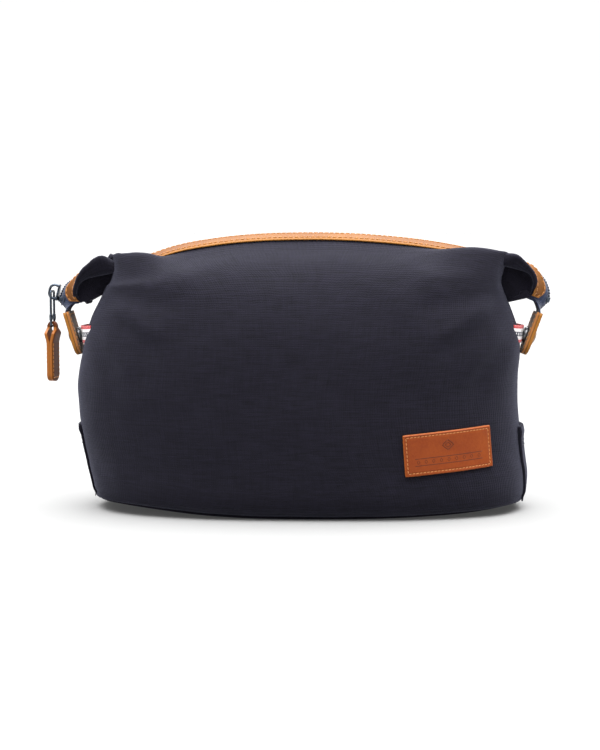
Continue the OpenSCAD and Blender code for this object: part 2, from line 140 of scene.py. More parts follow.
def spline(points, t):
    """Catmull-Rom through the points, with t from 0 to 1."""
    points = np.asarray(points, float)
    last = len(points) - 1
    t = np.asarray(t, float) * last
    i = np.clip(np.floor(t).astype(int), 0, last - 1)
    f = (t - i)[(...,) + (None,) * (points.ndim - 1)]
    p0, p1, p2, p3 = (points[np.clip(i + k, 0, last)] for k in (-1, 0, 1, 2))
    return 0.5 * (2 * p1 + (p2 - p0) * f + (2 * p0 - 5 * p1 + 4 * p2 - p3) * f**2
                  + (3 * p1 - p0 - 3 * p2 + p3) * f**3)


def hermite(x, knots, values):
    """A smooth curve through the values at the knots."""
    knots, values = np.asarray(knots, float), np.asarray(values, float)
    slopes = np.gradient(values, knots)
    x = np.clip(x, knots[0], knots[-1])
    i = np.clip(np.searchsorted(knots, x) - 1, 0, len(knots) - 2)
    h = knots[i + 1] - knots[i]
    t = (x - knots[i]) / h
    return ((2 * t**3 - 3 * t**2 + 1) * values[i] + (t**3 - 2 * t**2 + t) * h * slopes[i]
            + (3 * t**2 - 2 * t**3) * values[i + 1] + (t**3 - t**2) * h * slopes[i + 1])


def noise3(points, size, seed):
    """Smooth noise from about -1 to 1 at each point, with features of that size in mm."""
    flat = points.reshape(-1, 3) / size + seed
    out = np.zeros(len(flat))
    for scale in (1.0, 2.0):
        out += np.array([noise.noise(Vector(p * scale)) for p in flat]) / scale
    return out.reshape(points.shape[:-1])


def arch_drop(x):
    return ARCH_R - np.sqrt(ARCH_R**2 - np.minimum(abs(x), 200)**2)


# ---------------------------------------------------------------- the body's skin

# The stuffed body is slack and not quite even: how far each side reaches, over heights.
OUTLINE = {
    LEFT: ([0, 9, 16, 24, 31, 38, 45, 52, 60, 75, 84, 97, 107, 116, 124, 134, 141, 144, 148],
           [125, 125.6, 126.8, 128.6, 129.9, 131.6, 132.9, 134.4, 135.2, 135.8, 134.4, 131.8, 129.4,
            126.6, 122.8, 117.6, 113.6, 115, 118]),
    RIGHT: ([0, 9, 17, 24, 31, 38, 45, 53, 60, 70, 82, 93, 107, 116, 123, 132, 137, 142, 147, 152],
            [132.5, 133.4, 134, 133.8, 132.6, 131.5, 131, 130.4, 129.8, 129.3, 129.9, 130.6, 129.4,
             126.8, 124.4, 120.8, 119.2, 122.5, 129.5, 130.5])}
# The base's corners lift clear of the floor: how high, over distances from the middle.
BASE_LIFT = {LEFT: ([0, 30, 60, 85, 104, 140], [0.1, 0.5, 2.0, 4.2, 5.6, 6.2]),
             RIGHT: ([0, 40, 70, 100, 117, 140], [0.1, 0.4, 1.3, 2.8, 4.2, 6.6])}


def base_lift(x, z):
    lift = np.where(x < 0, hermite(-x, *BASE_LIFT[LEFT]), hermite(x, *BASE_LIFT[RIGHT]))
    return lift * (1 - ease(z / 48))


SOFT = 0.03


def squared(s, power):
    """Raises a sine to a power for a squarer oval, but stays smooth through zero."""
    return s * ((s * s + SOFT) / (1 + SOFT))**((power - 1) / 2)


def ring(turn, v):
    """A point of the canvas. Turn is in degrees, 0 at the front, 90 at the right side."""
    turn, v = np.broadcast_arrays(np.asarray(turn, float), np.asarray(v, float))
    row = spline(ROWS, v)
    power = 2 / row[..., 3]
    x = row[..., 2] * BODY_HALF_W * squared(np.sin(np.radians(turn)), power)
    y = -row[..., 1] * BODY_HALF_D * squared(np.cos(np.radians(turn)), power)
    z = row[..., 0] * CANVAS_H - ease((v - LIP_V) / (1 - LIP_V)) * arch_drop(x)
    return np.stack([x, y, z], -1)


def lean(x, z):
    """How far the uneven outline moves a point along X."""
    moves = {}
    for side in (LEFT, RIGHT):
        end = ring(90 * side, np.linspace(0, 1, 120))
        height = end[:, 2] + base_lift(end[:, 0], end[:, 2])
        moves[side] = side * (hermite(z, *OUTLINE[side]) - np.interp(z, height, abs(end[:, 0])))
    share = ease(np.clip(x / (2 * BODY_HALF_W) + 0.5, 0, 1))
    at_end = 1 - ease((z - 138) / 8) * ease((116 - abs(x)) / 40) * 0.7
    return mix(moves[LEFT], moves[RIGHT], share) * at_end


def dent(x, z, a, b, width, depth):
    """A straight soft groove (or, with a negative depth, a fold) from a to b in the front view."""
    a, b = np.array(a, float), np.array(b, float)
    d = b - a
    t = np.clip(((x - a[0]) * d[0] + (z - a[1]) * d[1]) / (d @ d), -0.3, 1.3)
    off = np.hypot(x - a[0] - t * d[0], z - a[1] - t * d[1])
    along = ease((t + 0.3) / 0.5) * ease((1.3 - t) / 0.5)
    return depth * np.exp(-(off / width)**2) * along


# The pull of each folded end on the canvas: from, to, width and depth of each soft crease.
CREASES = [((118, 128), (84, 96), 6.0, -1.3), ((116, 132), (70, 122), 6.5, -1.0),
           ((108, 122), (80, 106), 5.0, 1.0), ((121, 112), (104, 72), 6.5, -0.9),
           ((117, 104), (96, 84), 5.0, 0.7), ((104, 146), (66, 140), 7.0, 0.8)]


def folds(points):
    """How far the soft canvas stands out from its smooth form, in mm."""
    x, y, z = points[..., 0], points[..., 1], points[..., 2]
    front = ease((-y - 5) / 25)
    back = ease((y - 5) / 25)
    d = 0.75 * noise3(points, 52, 3.1) + 0.35 * noise3(points, 21, 8.4)
    for side, strength in ((LEFT, 1.0), (RIGHT, 1.25)):
        pull = sum(dent(side * x, z, *each) for each in CREASES)
        d = d + strength * pull * (front + 0.8 * back)
    # The foot rolls over the base seam, and its slack sags between the corners.
    d = d + 0.9 * np.exp(-((z - 13) / 8)**2) * (front + back) * (1 - x**2 / 150**2)
    d = d - 0.8 * np.exp(-((z - 3) / 2.2)**2)
    return d


def body_point(turn, v, out=0.0):
    """A point of the slack skin, or out mm off it along its normal."""
    turn, v = np.broadcast_arrays(np.asarray(turn, float), np.asarray(v, float))
    p = ring(turn, v)
    step = 0.5
    du = ring(turn + step, v) - ring(turn - step, v)
    dv = ring(turn, np.minimum(v + 0.004, 1)) - ring(turn, np.maximum(v - 0.004, 0))
    normal = unit(np.cross(du, dv))
    fade = ease(p[..., 2] / 4) * ease((1 - v) / 0.06)
    moved = p + normal * (folds(p) * fade + out)[..., None]
    lift = base_lift(p[..., 0], p[..., 2])
    moved[..., 2] = np.maximum(moved[..., 2], 0.3) + lift
    moved[..., 0] += lean(p[..., 0], p[..., 2] + lift)
    return moved


def turn_at(x, v):
    """The turn at which a row of the skin reaches x, found by squared's inverse."""
    row = spline(ROWS, v)
    power = 2 / row[..., 3]
    share = np.clip(x / (row[..., 2] * BODY_HALF_W), -1, 1)
    s = share
    for _ in range(12):
        s = np.clip(share * ((s * s + SOFT) / (1 + SOFT))**((1 - power) / 2), -1, 1)
    return np.degrees(np.arcsin(s))


V_TABLE = np.linspace(0, 1, 401)
Z_TABLE = spline(ROWS, V_TABLE)[:, 0] * CANVAS_H


def front_point(x, z, out=0.0):
    """The skin's point at that place of the front view, below the lips."""
    z = np.asarray(z, float)
    x = np.asarray(x, float)
    drawn_x = x - lean(x, z)
    drawn_z = z - base_lift(drawn_x, z)
    v = np.interp(drawn_z, Z_TABLE, V_TABLE)
    return body_point(turn_at(drawn_x, v), v, out)


# ---------------------------------------------------------------- meshes

def in_scene(name, data):
    """A new object of that data, linked to the scene."""
    obj = bpy.data.objects.new(name, data)
    bpy.context.scene.collection.objects.link(obj)
    return obj


def make_object(name, verts, faces, material, uvs):
    """A smooth mesh object from arrays in mm, with one pair of uvs per vertex."""
    mesh = bpy.data.meshes.new(name)
    mesh.from_pydata((np.asarray(verts, float) * MM).tolist(), [], faces)
    layer = mesh.uv_layers.new(name="UVMap")
    index = np.zeros(len(mesh.loops), int)
    mesh.loops.foreach_get("vertex_index", index)
    layer.data.foreach_set("uv", np.asarray(uvs, np.float32)[index].ravel())
    mesh.polygons.foreach_set("use_smooth", [True] * len(mesh.polygons))
    mesh.materials.append(material)
    mesh.update()
    return in_scene(name, mesh)


def grid_faces(nu, nv, closed=False, start=0, flip=False):
    """Quads over a grid of points, closed round its second axis or open."""
    faces = []
    for i in range(nu - 1):
        for j in range(nv if closed else nv - 1):
            a, d = (start + i * nv + k for k in (j, (j + 1) % nv))
            faces.append((a, d, d + nv, a + nv) if flip else (a, a + nv, d + nv, d))
    return faces


def lengths(points, axis):
    """Running length along a grid's axis, in mm, measured on each line and then averaged."""
    step = np.linalg.norm(np.diff(points, axis=axis), axis=-1)
    step = step.mean(axis=1 - axis)
    return np.concatenate([[0], np.cumsum(step)])


def grid_uvs(u, v):
    return np.stack(np.meshgrid(u, v, indexing="ij"), -1).reshape(-1, 2)


def grid_object(name, points, material, flip=False):
    """A sheet over a grid of points, with its UVs in mm along and across it."""
    return make_object(name, points.reshape(-1, 3), grid_faces(*points.shape[:2], flip=flip),
                       material, grid_uvs(lengths(points, 0), lengths(points, 1)))


def solid_grid(name, outer, inner, material):
    """A closed sheet between two grids, with sides all round."""
    nu, nv = outer.shape[:2]
    total = nu * nv
    faces = grid_faces(nu, nv) + grid_faces(nu, nv, start=total, flip=True)
    rim = ([i * nv for i in range(nu)] + [(nu - 1) * nv + j for j in range(1, nv)]
           + [i * nv + nv - 1 for i in range(nu - 2, -1, -1)] + list(range(nv - 2, 0, -1)))
    faces += [(a, b, b + total, a + total) for a, b in zip(rim, rim[1:] + rim[:1])]
    uv = grid_uvs(lengths(outer, 0), lengths(outer, 1))
    obj = make_object(name, np.concatenate([outer.reshape(-1, 3), inner.reshape(-1, 3)]),
                      faces, material, np.concatenate([uv, uv]))
    return fix_normals(obj)


def thicken(obj, thickness, offset=-1.0):
    modifier = obj.modifiers.new("thickness", "SOLIDIFY")
    modifier.thickness = thickness * MM
    modifier.offset = offset
    modifier.use_even_offset = False


def bevel(obj, width):
    modifier = obj.modifiers.new("bevel", "BEVEL")
    modifier.width = width * MM
    modifier.segments = 2
    modifier.limit_method = "ANGLE"
    modifier.angle_limit = math.radians(40)


def closed_sweep(name, sections, material, caps=True):
    """A closed tube through sections, an array [along, around, 3]."""
    nu, nv = sections.shape[:2]
    faces = grid_faces(nu, nv, closed=True)
    if caps:
        faces.append(tuple(range(nv)))
        faces.append(tuple((nu - 1) * nv + j for j in reversed(range(nv))))
    around = np.concatenate([sections, sections[:, :1]], 1)
    uv = grid_uvs(lengths(sections, 0), lengths(around, 1)[:-1])
    return fix_normals(make_object(name, sections.reshape(-1, 3), faces, material, uv))


def fix_normals(obj):
    bm = bmesh.new()
    bm.from_mesh(obj.data)
    bmesh.ops.recalc_face_normals(bm, faces=bm.faces)
    bm.to_mesh(obj.data)
    bm.free()
    return obj


def join(objs, name):
    """Joins mesh objects of one material, made in one place, into the first."""
    first, *others = objs
    bm = bmesh.new()
    for obj in objs:
        bm.from_mesh(obj.data)
    bm.to_mesh(first.data)
    bm.free()
    for obj in others:
        bpy.data.objects.remove(obj)
    first.name = name
    return first


def ellipsoid_template(around=8, rows=5):
    """One stitch of unit size: rings of points from pole to pole along X."""
    verts = [(-1, 0, 0)]
    for i in range(1, rows + 1):
        a = math.pi * i / (rows + 1)
        for j in range(around):
            b = 2 * math.pi * j / around
            verts.append((-math.cos(a), math.sin(a) * math.cos(b), math.sin(a) * math.sin(b)))
    verts.append((1, 0, 0))
    faces = []
    for j in range(around):
        k = (j + 1) % around
        faces.append((0, 1 + k, 1 + j))
        for i in range(rows - 1):
            a = 1 + i * around
            faces.append((a + j, a + k, a + around + k, a + around + j))
        a = 1 + (rows - 1) * around
        faces.append((a + j, a + k, len(verts) - 1))
    return np.array(verts, float), faces


STITCH_VERTS, STITCH_FACES = ellipsoid_template()
# Each stitch slants a little, as lockstitch thread does.
SLANT = 0.10


def sample(values, run, s):
    """The value at the running length s of a row of points or normals."""
    return np.array([np.interp(s, run, values[:, i]) for i in range(3)])


def stitches(name, rows, material, pitch=3.2, length=2.5, radius=0.32, lift=0.05):
    """Thread along each row (points, normals): one short fat stitch every pitch."""
    verts, faces, uvs = [], [], []
    for points, normals in rows:
        points, normals = np.asarray(points, float), np.asarray(normals, float)
        run = np.concatenate([[0], np.cumsum(np.linalg.norm(np.diff(points, axis=0), axis=1))])
        total = max(2, int(round(run[-1] / pitch)))
        gap = run[-1] / total
        for k in range(total):
            s = (k + 0.5) * gap
            along = unit(sample(points, run, s + 0.4) - sample(points, run, s - 0.4))
            across = unit(np.cross(unit(sample(normals, run, s)), along))
            up = np.cross(along, across)
            along, across = along + SLANT * across, across - SLANT * along
            basis = np.stack([along * length / 2, across * radius, up * radius * 0.8])
            start = len(verts) * len(STITCH_VERTS)
            verts.append(sample(points, run, s) + up * lift + STITCH_VERTS @ basis)
            faces += [tuple(start + i for i in f) for f in STITCH_FACES]
            uvs.append(STITCH_VERTS[:, :2] * (length / 2, radius))
    return make_object(name, np.concatenate(verts), faces, material, np.concatenate(uvs))


def set_weights(obj, weights):
    attribute = obj.data.attributes["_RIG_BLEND"]
    attribute.data.foreach_set("value", np.asarray(weights, np.float32).ravel())


def rest_points(obj):
    co = np.zeros(len(obj.data.vertices) * 3)
    obj.data.vertices.foreach_get("co", co)
    return co.reshape(-1, 3) / MM


def lip_weight(points):
    """How far the skin follows its lip: all of it in the middle, none at the ends."""
    x, z = abs(points[:, 0]), points[:, 2]
    return ease((LIP_HALF - 1 - x) / 62) * ease((z - LIP_HINGE[2] + 7) / 20)


def with_lip(obj, side):
    """The piece bends between the bag and one lip, so that the mouth opens like a lens."""
    hinge = LIP_HINGE * (1, -side, 1)
    start = hinge - (0, 0, 7)
    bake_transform(obj, "bag", "front_lip" if side == FRONT else "back_lip",
             start=tuple(start * MM), end=tuple((start + (0, 0, 20)) * MM))
    set_weights(obj, lip_weight(rest_points(obj)))


def fold_angle(points):
    """The angle round an end's fold, in degrees from straight up."""
    return np.degrees(np.arctan2(abs(points[:, 0]) - HUB[0], points[:, 2] - HUB[2]))


def with_wing(obj, side):
    """The piece bends between the bag and one folded end, across the fold's root."""
    wing = "left_wing" if side == LEFT else "right_wing"
    start = np.array([side * HUB[0], 0, HUB[2] + FOLD_R])
    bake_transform(obj, "bag", wing, start=tuple(start * MM),
             end=tuple((start + (side * 17, 0, -7)) * MM))
    points = rest_points(obj)
    angle = fold_angle(points)
    angle = np.where((abs(points[:, 0]) < HUB[0]) & (angle < 0), -1, angle)
    set_weights(obj, ease((angle - 4) / 36))


# ---------------------------------------------------------------- the zip band's path

JOIN_X = ARCH_R * math.sin(JOIN_A)
BAND_SPLIT = 104.0
STRIP_END_Q, END_Q = (JOIN_X + (math.radians(a) - JOIN_A) * FOLD_R for a in (89.5, 96))
# How far the slack band stands off its drawn arcs, at distances along each half.
SLACK = {
    LEFT: ([0, 50, 75, 97, 115, 129, 136, 143, 150, 156, 163],
           [0.1, -0.4, -1.6, -4.6, -5.2, -4.4, -4.0, -2.8, -1.0, 0, 0]),
    RIGHT: ([0, 50, 75, 97, 115, 129, 137, 142, 149, 155, 161, 163],
            [0.1, 0.8, 1.2, 1.2, 0.8, 1.0, 2.0, 2.4, 2.4, 2.2, 0, -0.6])}


def band_base(q):
    """The drawn arcs: place and outward normal in the XZ plane, for a distance q >= 0."""
    q = np.asarray(q, float)
    angle = np.where(q <= JOIN_X, np.arcsin(np.minimum(q, JOIN_X) / ARCH_R),
                     JOIN_A + (q - JOIN_X) / FOLD_R)
    normal = np.stack([np.sin(angle), np.cos(angle)], -1)
    arch = np.array([0, ARCH_Z]) + ARCH_R * normal
    fold = np.array([HUB[0], HUB[2]]) + FOLD_R * normal
    return np.where((q <= JOIN_X)[..., None], arch, fold), normal


def band_path(side, q):
    place, normal = band_base(q)
    knots, values = SLACK[side]
    return place + normal * hermite(q, knots, values)[..., None]


def band_point(side, q, h, y):
    """A point of the zip band: q along it from the middle, h above its centre, y across."""
    q = abs(np.asarray(q, float))
    step = 0.5
    tangent = unit(band_path(side, q + step) - band_path(side, np.abs(q - step)))
    tangent = np.where((q < step)[..., None], np.array([1.0, 0.0]), tangent)
    normal = np.stack([-tangent[..., 1], tangent[..., 0]], -1)
    p = band_path(side, q) + normal * np.asarray(h)[..., None]
    return np.stack(np.broadcast_arrays(side * p[..., 0], y, p[..., 1]), -1)


def fold_turn(q):
    """Degrees round the fold at q, running on backwards over the arch."""
    return np.degrees(JOIN_A + (abs(np.asarray(q, float)) - JOIN_X) / FOLD_R)


# The leather strip's outer edge, slope and width where the band turns from flat to a V.
STRIP_TURN = [-60, 20, 36, 49, 56, 70, 88, 98]
STRIP_H = [0.9, 0.9, 0.6, -0.3, -0.7, -1.8, -6.0, -8.0]
STRIP_SLOPE = [18, 18, 20, 28, 37, 56, 73, 80]
STRIP_Y = [6, 6, 6, 6, 5.9, 5.7, 6.8, 7.2]
STRIP_W = [TRIM_W, TRIM_W, TRIM_W, 10.8, 10.6, 10.2, 9.4, 9.0]


def strip_width(q):
    return hermite(fold_turn(q), STRIP_TURN, STRIP_W)


def strip_point(side, face, q, w, t):
    """A point on a leather strip: w across it from the zip, t above its middle plane."""
    turn = fold_turn(q)
    slope = np.radians(hermite(turn, STRIP_TURN, STRIP_SLOPE))
    h = hermite(turn, STRIP_TURN, STRIP_H) - w * np.sin(slope) + t * np.cos(slope)
    y = hermite(turn, STRIP_TURN, STRIP_Y) + w * np.cos(slope) + t * np.sin(slope)
    return band_point(side, q, h, face * y)


def fold_q(side):
    """A table from the true angle about the hub to the distance along the band."""
    q = np.linspace(84, 163, 300)
    p = band_path(side, q)
    return np.degrees(np.arctan2(p[:, 0] - HUB[0], p[:, 1] - HUB[2])), q


# ---------------------------------------------------------------- materials

def rgb(r, g, b):
    """Linear colour from 0-255 screen values."""
    values = [c / 255 for c in (r, g, b)]
    return tuple(c / 12.92 if c <= 0.04045 else ((c + 0.055) / 1.055)**2.4 for c in values) + (1,)


class Nodes:
    """A short way to write a material's node tree."""

    def __init__(self, name, **values):
        self.material = bpy.data.materials.new(name)
        self.material.use_nodes = True
        self.tree = self.material.node_tree
        self.shader = self.tree.nodes["Principled BSDF"]
        for key, value in values.items():
            self.shader.inputs[key.replace("_", " ")].default_value = value

    def add(self, kind, inputs=(), **settings):
        node = self.tree.nodes.new("ShaderNode" + kind)
        for key, value in settings.items():
            setattr(node, key, value)
        for key, value in dict(inputs).items():
            self.put(node.inputs[key], value)
        return node

    def put(self, socket, value):
        if isinstance(value, bpy.types.NodeSocket):
            self.tree.links.new(value, socket)
        else:
            socket.default_value = value

    def math(self, operation, *values):
        return self.add("Math", enumerate(values), operation=operation).outputs[0]

    def plus(self, a, b):
        return self.math("ADD", a, b)

    def times(self, a, b):
        return self.math("MULTIPLY", a, b)

    def wave(self, value, rate):
        return self.math("SINE", self.times(value, rate))

    def blend(self, a, b, share):
        """A value with a share of another in it."""
        return self.plus(self.times(a, 1 - share), self.times(b, share))

    def mix(self, factor, a, b):
        node = self.add("Mix", {0: factor, 6: a, 7: b}, data_type="RGBA", blend_type="MIX")
        return node.outputs[2]

    def colour(self, value):
        self.put(self.shader.inputs["Base Color"], value)

    def uv(self, scale=(1, 1, 1), turn=0.0):
        """The piece's UVs, in mm."""
        place = self.add("UVMap", uv_map="UVMap").outputs[0]
        return self.add("Mapping", {"Vector": place, "Scale": scale,
                                    "Rotation": (0, 0, turn)}).outputs[0]

    def place(self, scale=1000.0):
        """The piece's own coordinates, in mm when the scale is 1000."""
        place = self.add("TexCoord").outputs["Object"]
        return self.add("Mapping", {"Vector": place, "Scale": (scale,) * 3}).outputs[0]

    def noise(self, vector, scale=1.0, detail=2.0, roughness=0.5):
        return self.add("TexNoise", {"Vector": vector, "Scale": scale, "Detail": detail,
                                     "Roughness": roughness}).outputs["Fac"]

    def edge(self):
        """How near the surface is to a cut edge, from 0 to 1."""
        return self.add("Attribute", attribute_name="edge").outputs["Fac"]

    def ramp(self, value, low, high):
        """Maps low..high to 0..1."""
        return self.add("MapRange", {0: value, 1: low, 2: high, 3: 0.0, 4: 1.0}).outputs[0]

    def bump(self, height, distance, strength=1.0):
        node = self.add("Bump", {"Height": height, "Distance": distance * MM,
                                 "Strength": strength})
        if self.shader.inputs["Normal"].is_linked:
            self.put(node.inputs["Normal"], self.shader.inputs["Normal"].links[0].from_socket)
        self.put(self.shader.inputs["Normal"], node.outputs[0])


def woven(name, dark, light, thread, depth, **values):
    """Plain-weave cloth with slubbed threads, laid out on the piece's UVs."""
    n = Nodes(name, Roughness=0.9, Sheen_Roughness=0.5, Specular_IOR_Level=0.12, **values)
    scale = 1 / thread
    uv = n.uv((scale, scale, scale))
    wobble = n.noise(n.uv(), 0.08, 1.0)
    parts = n.add("SeparateXYZ", {0: uv})
    waves = [n.wave(n.plus(parts.outputs[axis], n.times(wobble, 1.6)), math.pi) for axis in (0, 1)]
    over = n.ramp(n.times(*waves), -0.6, 0.6)
    warp, weft = (n.math("ABSOLUTE", w) for w in waves)
    cloth = n.mix(over, n.add("CombineColor", {0: warp, 1: warp, 2: warp}).outputs[0],
                  n.add("CombineColor", {0: weft, 1: weft, 2: weft}).outputs[0])
    height = n.add("RGBToBW", {0: cloth}).outputs[0]
    slubs = [n.noise(n.uv(stretch)) for stretch in ((scale * 0.09, scale, 1),
                                                    (scale, scale * 0.09, 1))]
    slub = n.blend(*slubs, 0.4)
    n.colour(n.mix(n.blend(n.ramp(slub, 0.34, 0.66), height, 0.38), dark, light))
    n.bump(n.plus(height, n.times(slub, 0.9)), depth)
    return n.material


def hide(name, dark, light, edge, roughness=0.5, grain=0.9):
    """Leather: mottled, grained, and lighter along its cut edges (the edge attribute)."""
    n = Nodes(name, Roughness=roughness, Specular_IOR_Level=0.2)
    place = n.place()
    patches = n.noise(place, 0.035, 4.0, 0.6)
    fine = n.noise(place, 0.7, 3.0, 0.6)
    colour = n.mix(n.ramp(n.blend(patches, fine, 0.3), 0.34, 0.66), dark, light)
    n.colour(n.mix(n.edge(), colour, edge))
    cells = n.add("TexVoronoi", {"Vector": place, "Scale": grain},
                  feature="SMOOTH_F1").outputs["Distance"]
    n.bump(cells, 0.10, 0.7)
    n.bump(fine, 0.14, 0.6)
    return n.material


def metal(name, colour, wear, roughness):
    """Cast or plated metal, rubbed to a lighter colour in places."""
    n = Nodes(name, Metallic=1.0, Roughness=roughness)
    rub = n.noise(n.place(), 0.35, 4.0, 0.65)
    n.colour(n.mix(n.ramp(rub, 0.42, 0.66), colour, wear))
    n.bump(n.noise(n.place(), 2.2, 2.0), 0.02, 0.5)
    return n.material


def tape_cloth(name, dark, light):
    """Zip tape: fine ribs along its length, with a woven herringbone over them."""
    n = Nodes(name, Roughness=0.85, Sheen_Weight=0.25, Specular_IOR_Level=0.3)
    parts = n.add("SeparateXYZ", {0: n.uv()})
    zig = n.math("PINGPONG", parts.outputs[1], 1.5)
    ribs = n.ramp(n.wave(n.plus(parts.outputs[0], zig), 7.5), -1, 1)
    cords = n.ramp(n.wave(parts.outputs[1], 4.2), -1, 1)
    height = n.blend(ribs, cords, 0.4)
    n.colour(n.mix(height, dark, light))
    n.bump(height, 0.12)
    return n.material


def striped(name):
    """The ribbon: red, white and navy stripes along it, with ticks on the navy."""
    n = Nodes(name, Roughness=0.8, Sheen_Weight=0.2)
    along, up = n.add("SeparateXYZ", {0: n.uv()}).outputs[:2]
    across = n.math("ABSOLUTE", n.math("SUBTRACT", up, RIBBON_W / 2))

    def over(value, limit):
        return n.math("GREATER_THAN", value, limit)

    tick = n.times(over(n.wave(along, 2.6), 0.55), n.math("LESS_THAN", across, 0.8))
    colour = n.mix(over(across, 1.35), rgb(28, 30, 52), rgb(232, 228, 230))
    colour = n.mix(over(across, RIBBON_W / 2 - 1.9), colour, rgb(196, 44, 48))
    pale = n.times(over(n.wave(along, 3.9), 0.72), over(across, RIBBON_W / 2 - 1.2))
    colour = n.mix(pale, colour, rgb(226, 150, 150))
    n.colour(n.mix(tick, colour, rgb(225, 224, 228)))
    n.bump(n.math("ABSOLUTE", n.wave(along, 5.5)), 0.15)
    return n.material


def thread_material(name, dark, light):
    n = Nodes(name, Roughness=0.65, Sheen_Weight=0.2)
    twist = n.add("TexWave", {"Vector": n.uv(turn=0.7), "Scale": 1.6,
                              "Distortion": 0.0}).outputs["Fac"]
    n.colour(n.mix(twist, dark, light))
    n.bump(twist, 0.06)
    return n.material


def nylon(name):
    n = Nodes(name, Roughness=0.4, Specular_IOR_Level=0.5)
    n.colour(n.mix(n.noise(n.place(), 0.6), rgb(20, 26, 44), rgb(34, 44, 68)))
    return n.material


def suede(name):
    n = Nodes(name, Roughness=0.95, Sheen_Weight=0.12, Sheen_Roughness=0.6)
    nap = n.noise(n.place(), 1.6, 4.0, 0.7)
    cloud = n.noise(n.place(), 0.15, 3.0)
    tone = n.ramp(n.blend(nap, cloud, 0.5), 0.35, 0.65)
    rim = n.edge()
    n.colour(n.mix(rim, n.mix(tone, rgb(70, 50, 32), rgb(104, 78, 52)), rgb(160, 98, 36)))
    n.bump(nap, 0.18)
    return n.material


def floor_material():
    n = Nodes("floor", Roughness=0.8, Emission_Strength=0.05, Emission_Color=(1, 1, 1, 1),
              Specular_IOR_Level=0.1)
    grain = n.noise(n.place(1.0), 3.0)
    n.colour(n.mix(grain, (0.25, 0.25, 0.25, 1), (0.26, 0.26, 0.26, 1)))
    return n.material


RIBBON_W = 10.4
CANVAS = woven("canvas", rgb(6, 5, 9), rgb(23, 21, 32), 1.3, 0.16,
               Sheen_Weight=0.12, Sheen_Tint=(0.6, 0.62, 0.85, 1))
LINING = woven("lining", rgb(92, 98, 112), rgb(128, 134, 148), 0.5, 0.08, Sheen_Weight=0.2)
LEATHER = hide("tan_leather", rgb(96, 53, 10), rgb(118, 72, 16), rgb(150, 98, 36))
LABEL_LEATHER = hide("label_leather", rgb(110, 43, 8), rgb(130, 59, 12), rgb(160, 84, 26),
                     roughness=0.42)
EMBOSS = hide("pressed_leather", rgb(58, 20, 4), rgb(76, 30, 7), rgb(76, 30, 7), grain=0.7)
PULL_LEATHER = hide("pull_leather", rgb(78, 34, 7), rgb(98, 47, 11), rgb(142, 84, 30))
SUEDE = suede("suede")
TAPE = tape_cloth("zip_tape", rgb(22, 28, 48), rgb(46, 58, 88))
COIL = nylon("zip_coil")
GUNMETAL = metal("gunmetal", rgb(52, 58, 68), rgb(84, 92, 102), 0.32)
BRASS = metal("antique_brass", rgb(116, 84, 44), rgb(164, 128, 78), 0.38)
STEEL = metal("snap_steel", rgb(110, 112, 116), rgb(150, 152, 156), 0.35)
RIBBON = striped("ribbon")
THREAD = thread_material("tan_thread", rgb(168, 98, 32), rgb(204, 142, 70))
DARK_THREAD = thread_material("navy_thread", rgb(24, 24, 34), rgb(50, 50, 66))


def edge_attribute(obj, values):
    attribute = obj.data.attributes.new("edge", "FLOAT", "POINT")
    attribute.data.foreach_set("value", np.asarray(values, np.float32).ravel())


# ---------------------------------------------------------------- camera, light and floor

def set_stage():
    camera = bpy.data.cameras.new("camera")
    camera.lens = 80
    camera.sensor_width = 36
    eye = in_scene("camera", camera)
    elevation, swing, distance = math.radians(5), math.radians(1.5), 1010
    aim = np.array([-1.5, 0, 79.5])
    out = np.array([math.sin(swing) * math.cos(elevation), -math.cos(swing) * math.cos(elevation),
                    math.sin(elevation)])
    eye.location = Vector((aim + out * distance) * MM)
    eye.rotation_euler = Vector(-out).to_track_quat("-Z", "Y").to_euler()
    bpy.context.scene.camera = eye

    world = bpy.data.worlds.new("studio")
    world.use_nodes = True
    tree = world.node_tree
    sky = tree.nodes.new("ShaderNodeTexCoord")
    parts = tree.nodes.new("ShaderNodeSeparateXYZ")
    ramp = tree.nodes.new("ShaderNodeValToRGB")
    # White at the horizon, dimmer above it, and a broad bright ceiling.
    stops = ((0.0, 0.125), (0.23, 0.125), (0.29, 0.04), (0.55, 0.05), (0.82, 0.95), (1.0, 1.0))
    while len(ramp.color_ramp.elements) < len(stops):
        ramp.color_ramp.elements.new(0.5)
    for element, (place, value) in zip(ramp.color_ramp.elements, stops):
        element.position = place
        element.color = (value, value, value, 1)
    tree.links.new(sky.outputs["Generated"], parts.inputs[0])
    tree.links.new(parts.outputs[2], ramp.inputs[0])
    tree.links.new(ramp.outputs[0], tree.nodes["Background"].inputs["Color"])
    tree.nodes["Background"].inputs["Strength"].default_value = 8.1
    bpy.context.scene.world = world
    bpy.context.scene.view_settings.view_transform = "Standard"

    for name, place, aim_at, size, power in (
            ("softbox", (0.05, -0.15, 1.25), (0, 0, 0.1), (1.3, 0.8), 4),
            ("rim", (0.1, 0.75, 0.9), (0, 0, 0.12), (1.2, 0.5), 1.5)):
        light = bpy.data.lights.new(name, "AREA")
        light.shape = "RECTANGLE"
        light.size, light.size_y = size
        light.energy = power
        lamp = in_scene(name, light)
        lamp.location = place
        lamp.rotation_euler = (Vector(aim_at) - Vector(place)).to_track_quat("-Z", "Y").to_euler()

    mesh = bpy.data.meshes.new("floor")
    mesh.from_pydata([(x * 60, y * 60, 0) for x, y in ((-1, -1), (1, -1), (1, 1), (-1, 1))], [],
                     [(0, 1, 2, 3)])
    mesh.materials.append(floor_material())
    in_scene("floor", mesh)


set_stage()
FINE = 1.0


def count(n):
    return max(4, int(n * FINE))


def finish_piece(obj, slot, *replaced):
    """Hides the CAD nodes that a piece takes the place of. Its slot is not used."""
    if replaced:
        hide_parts(*replaced)


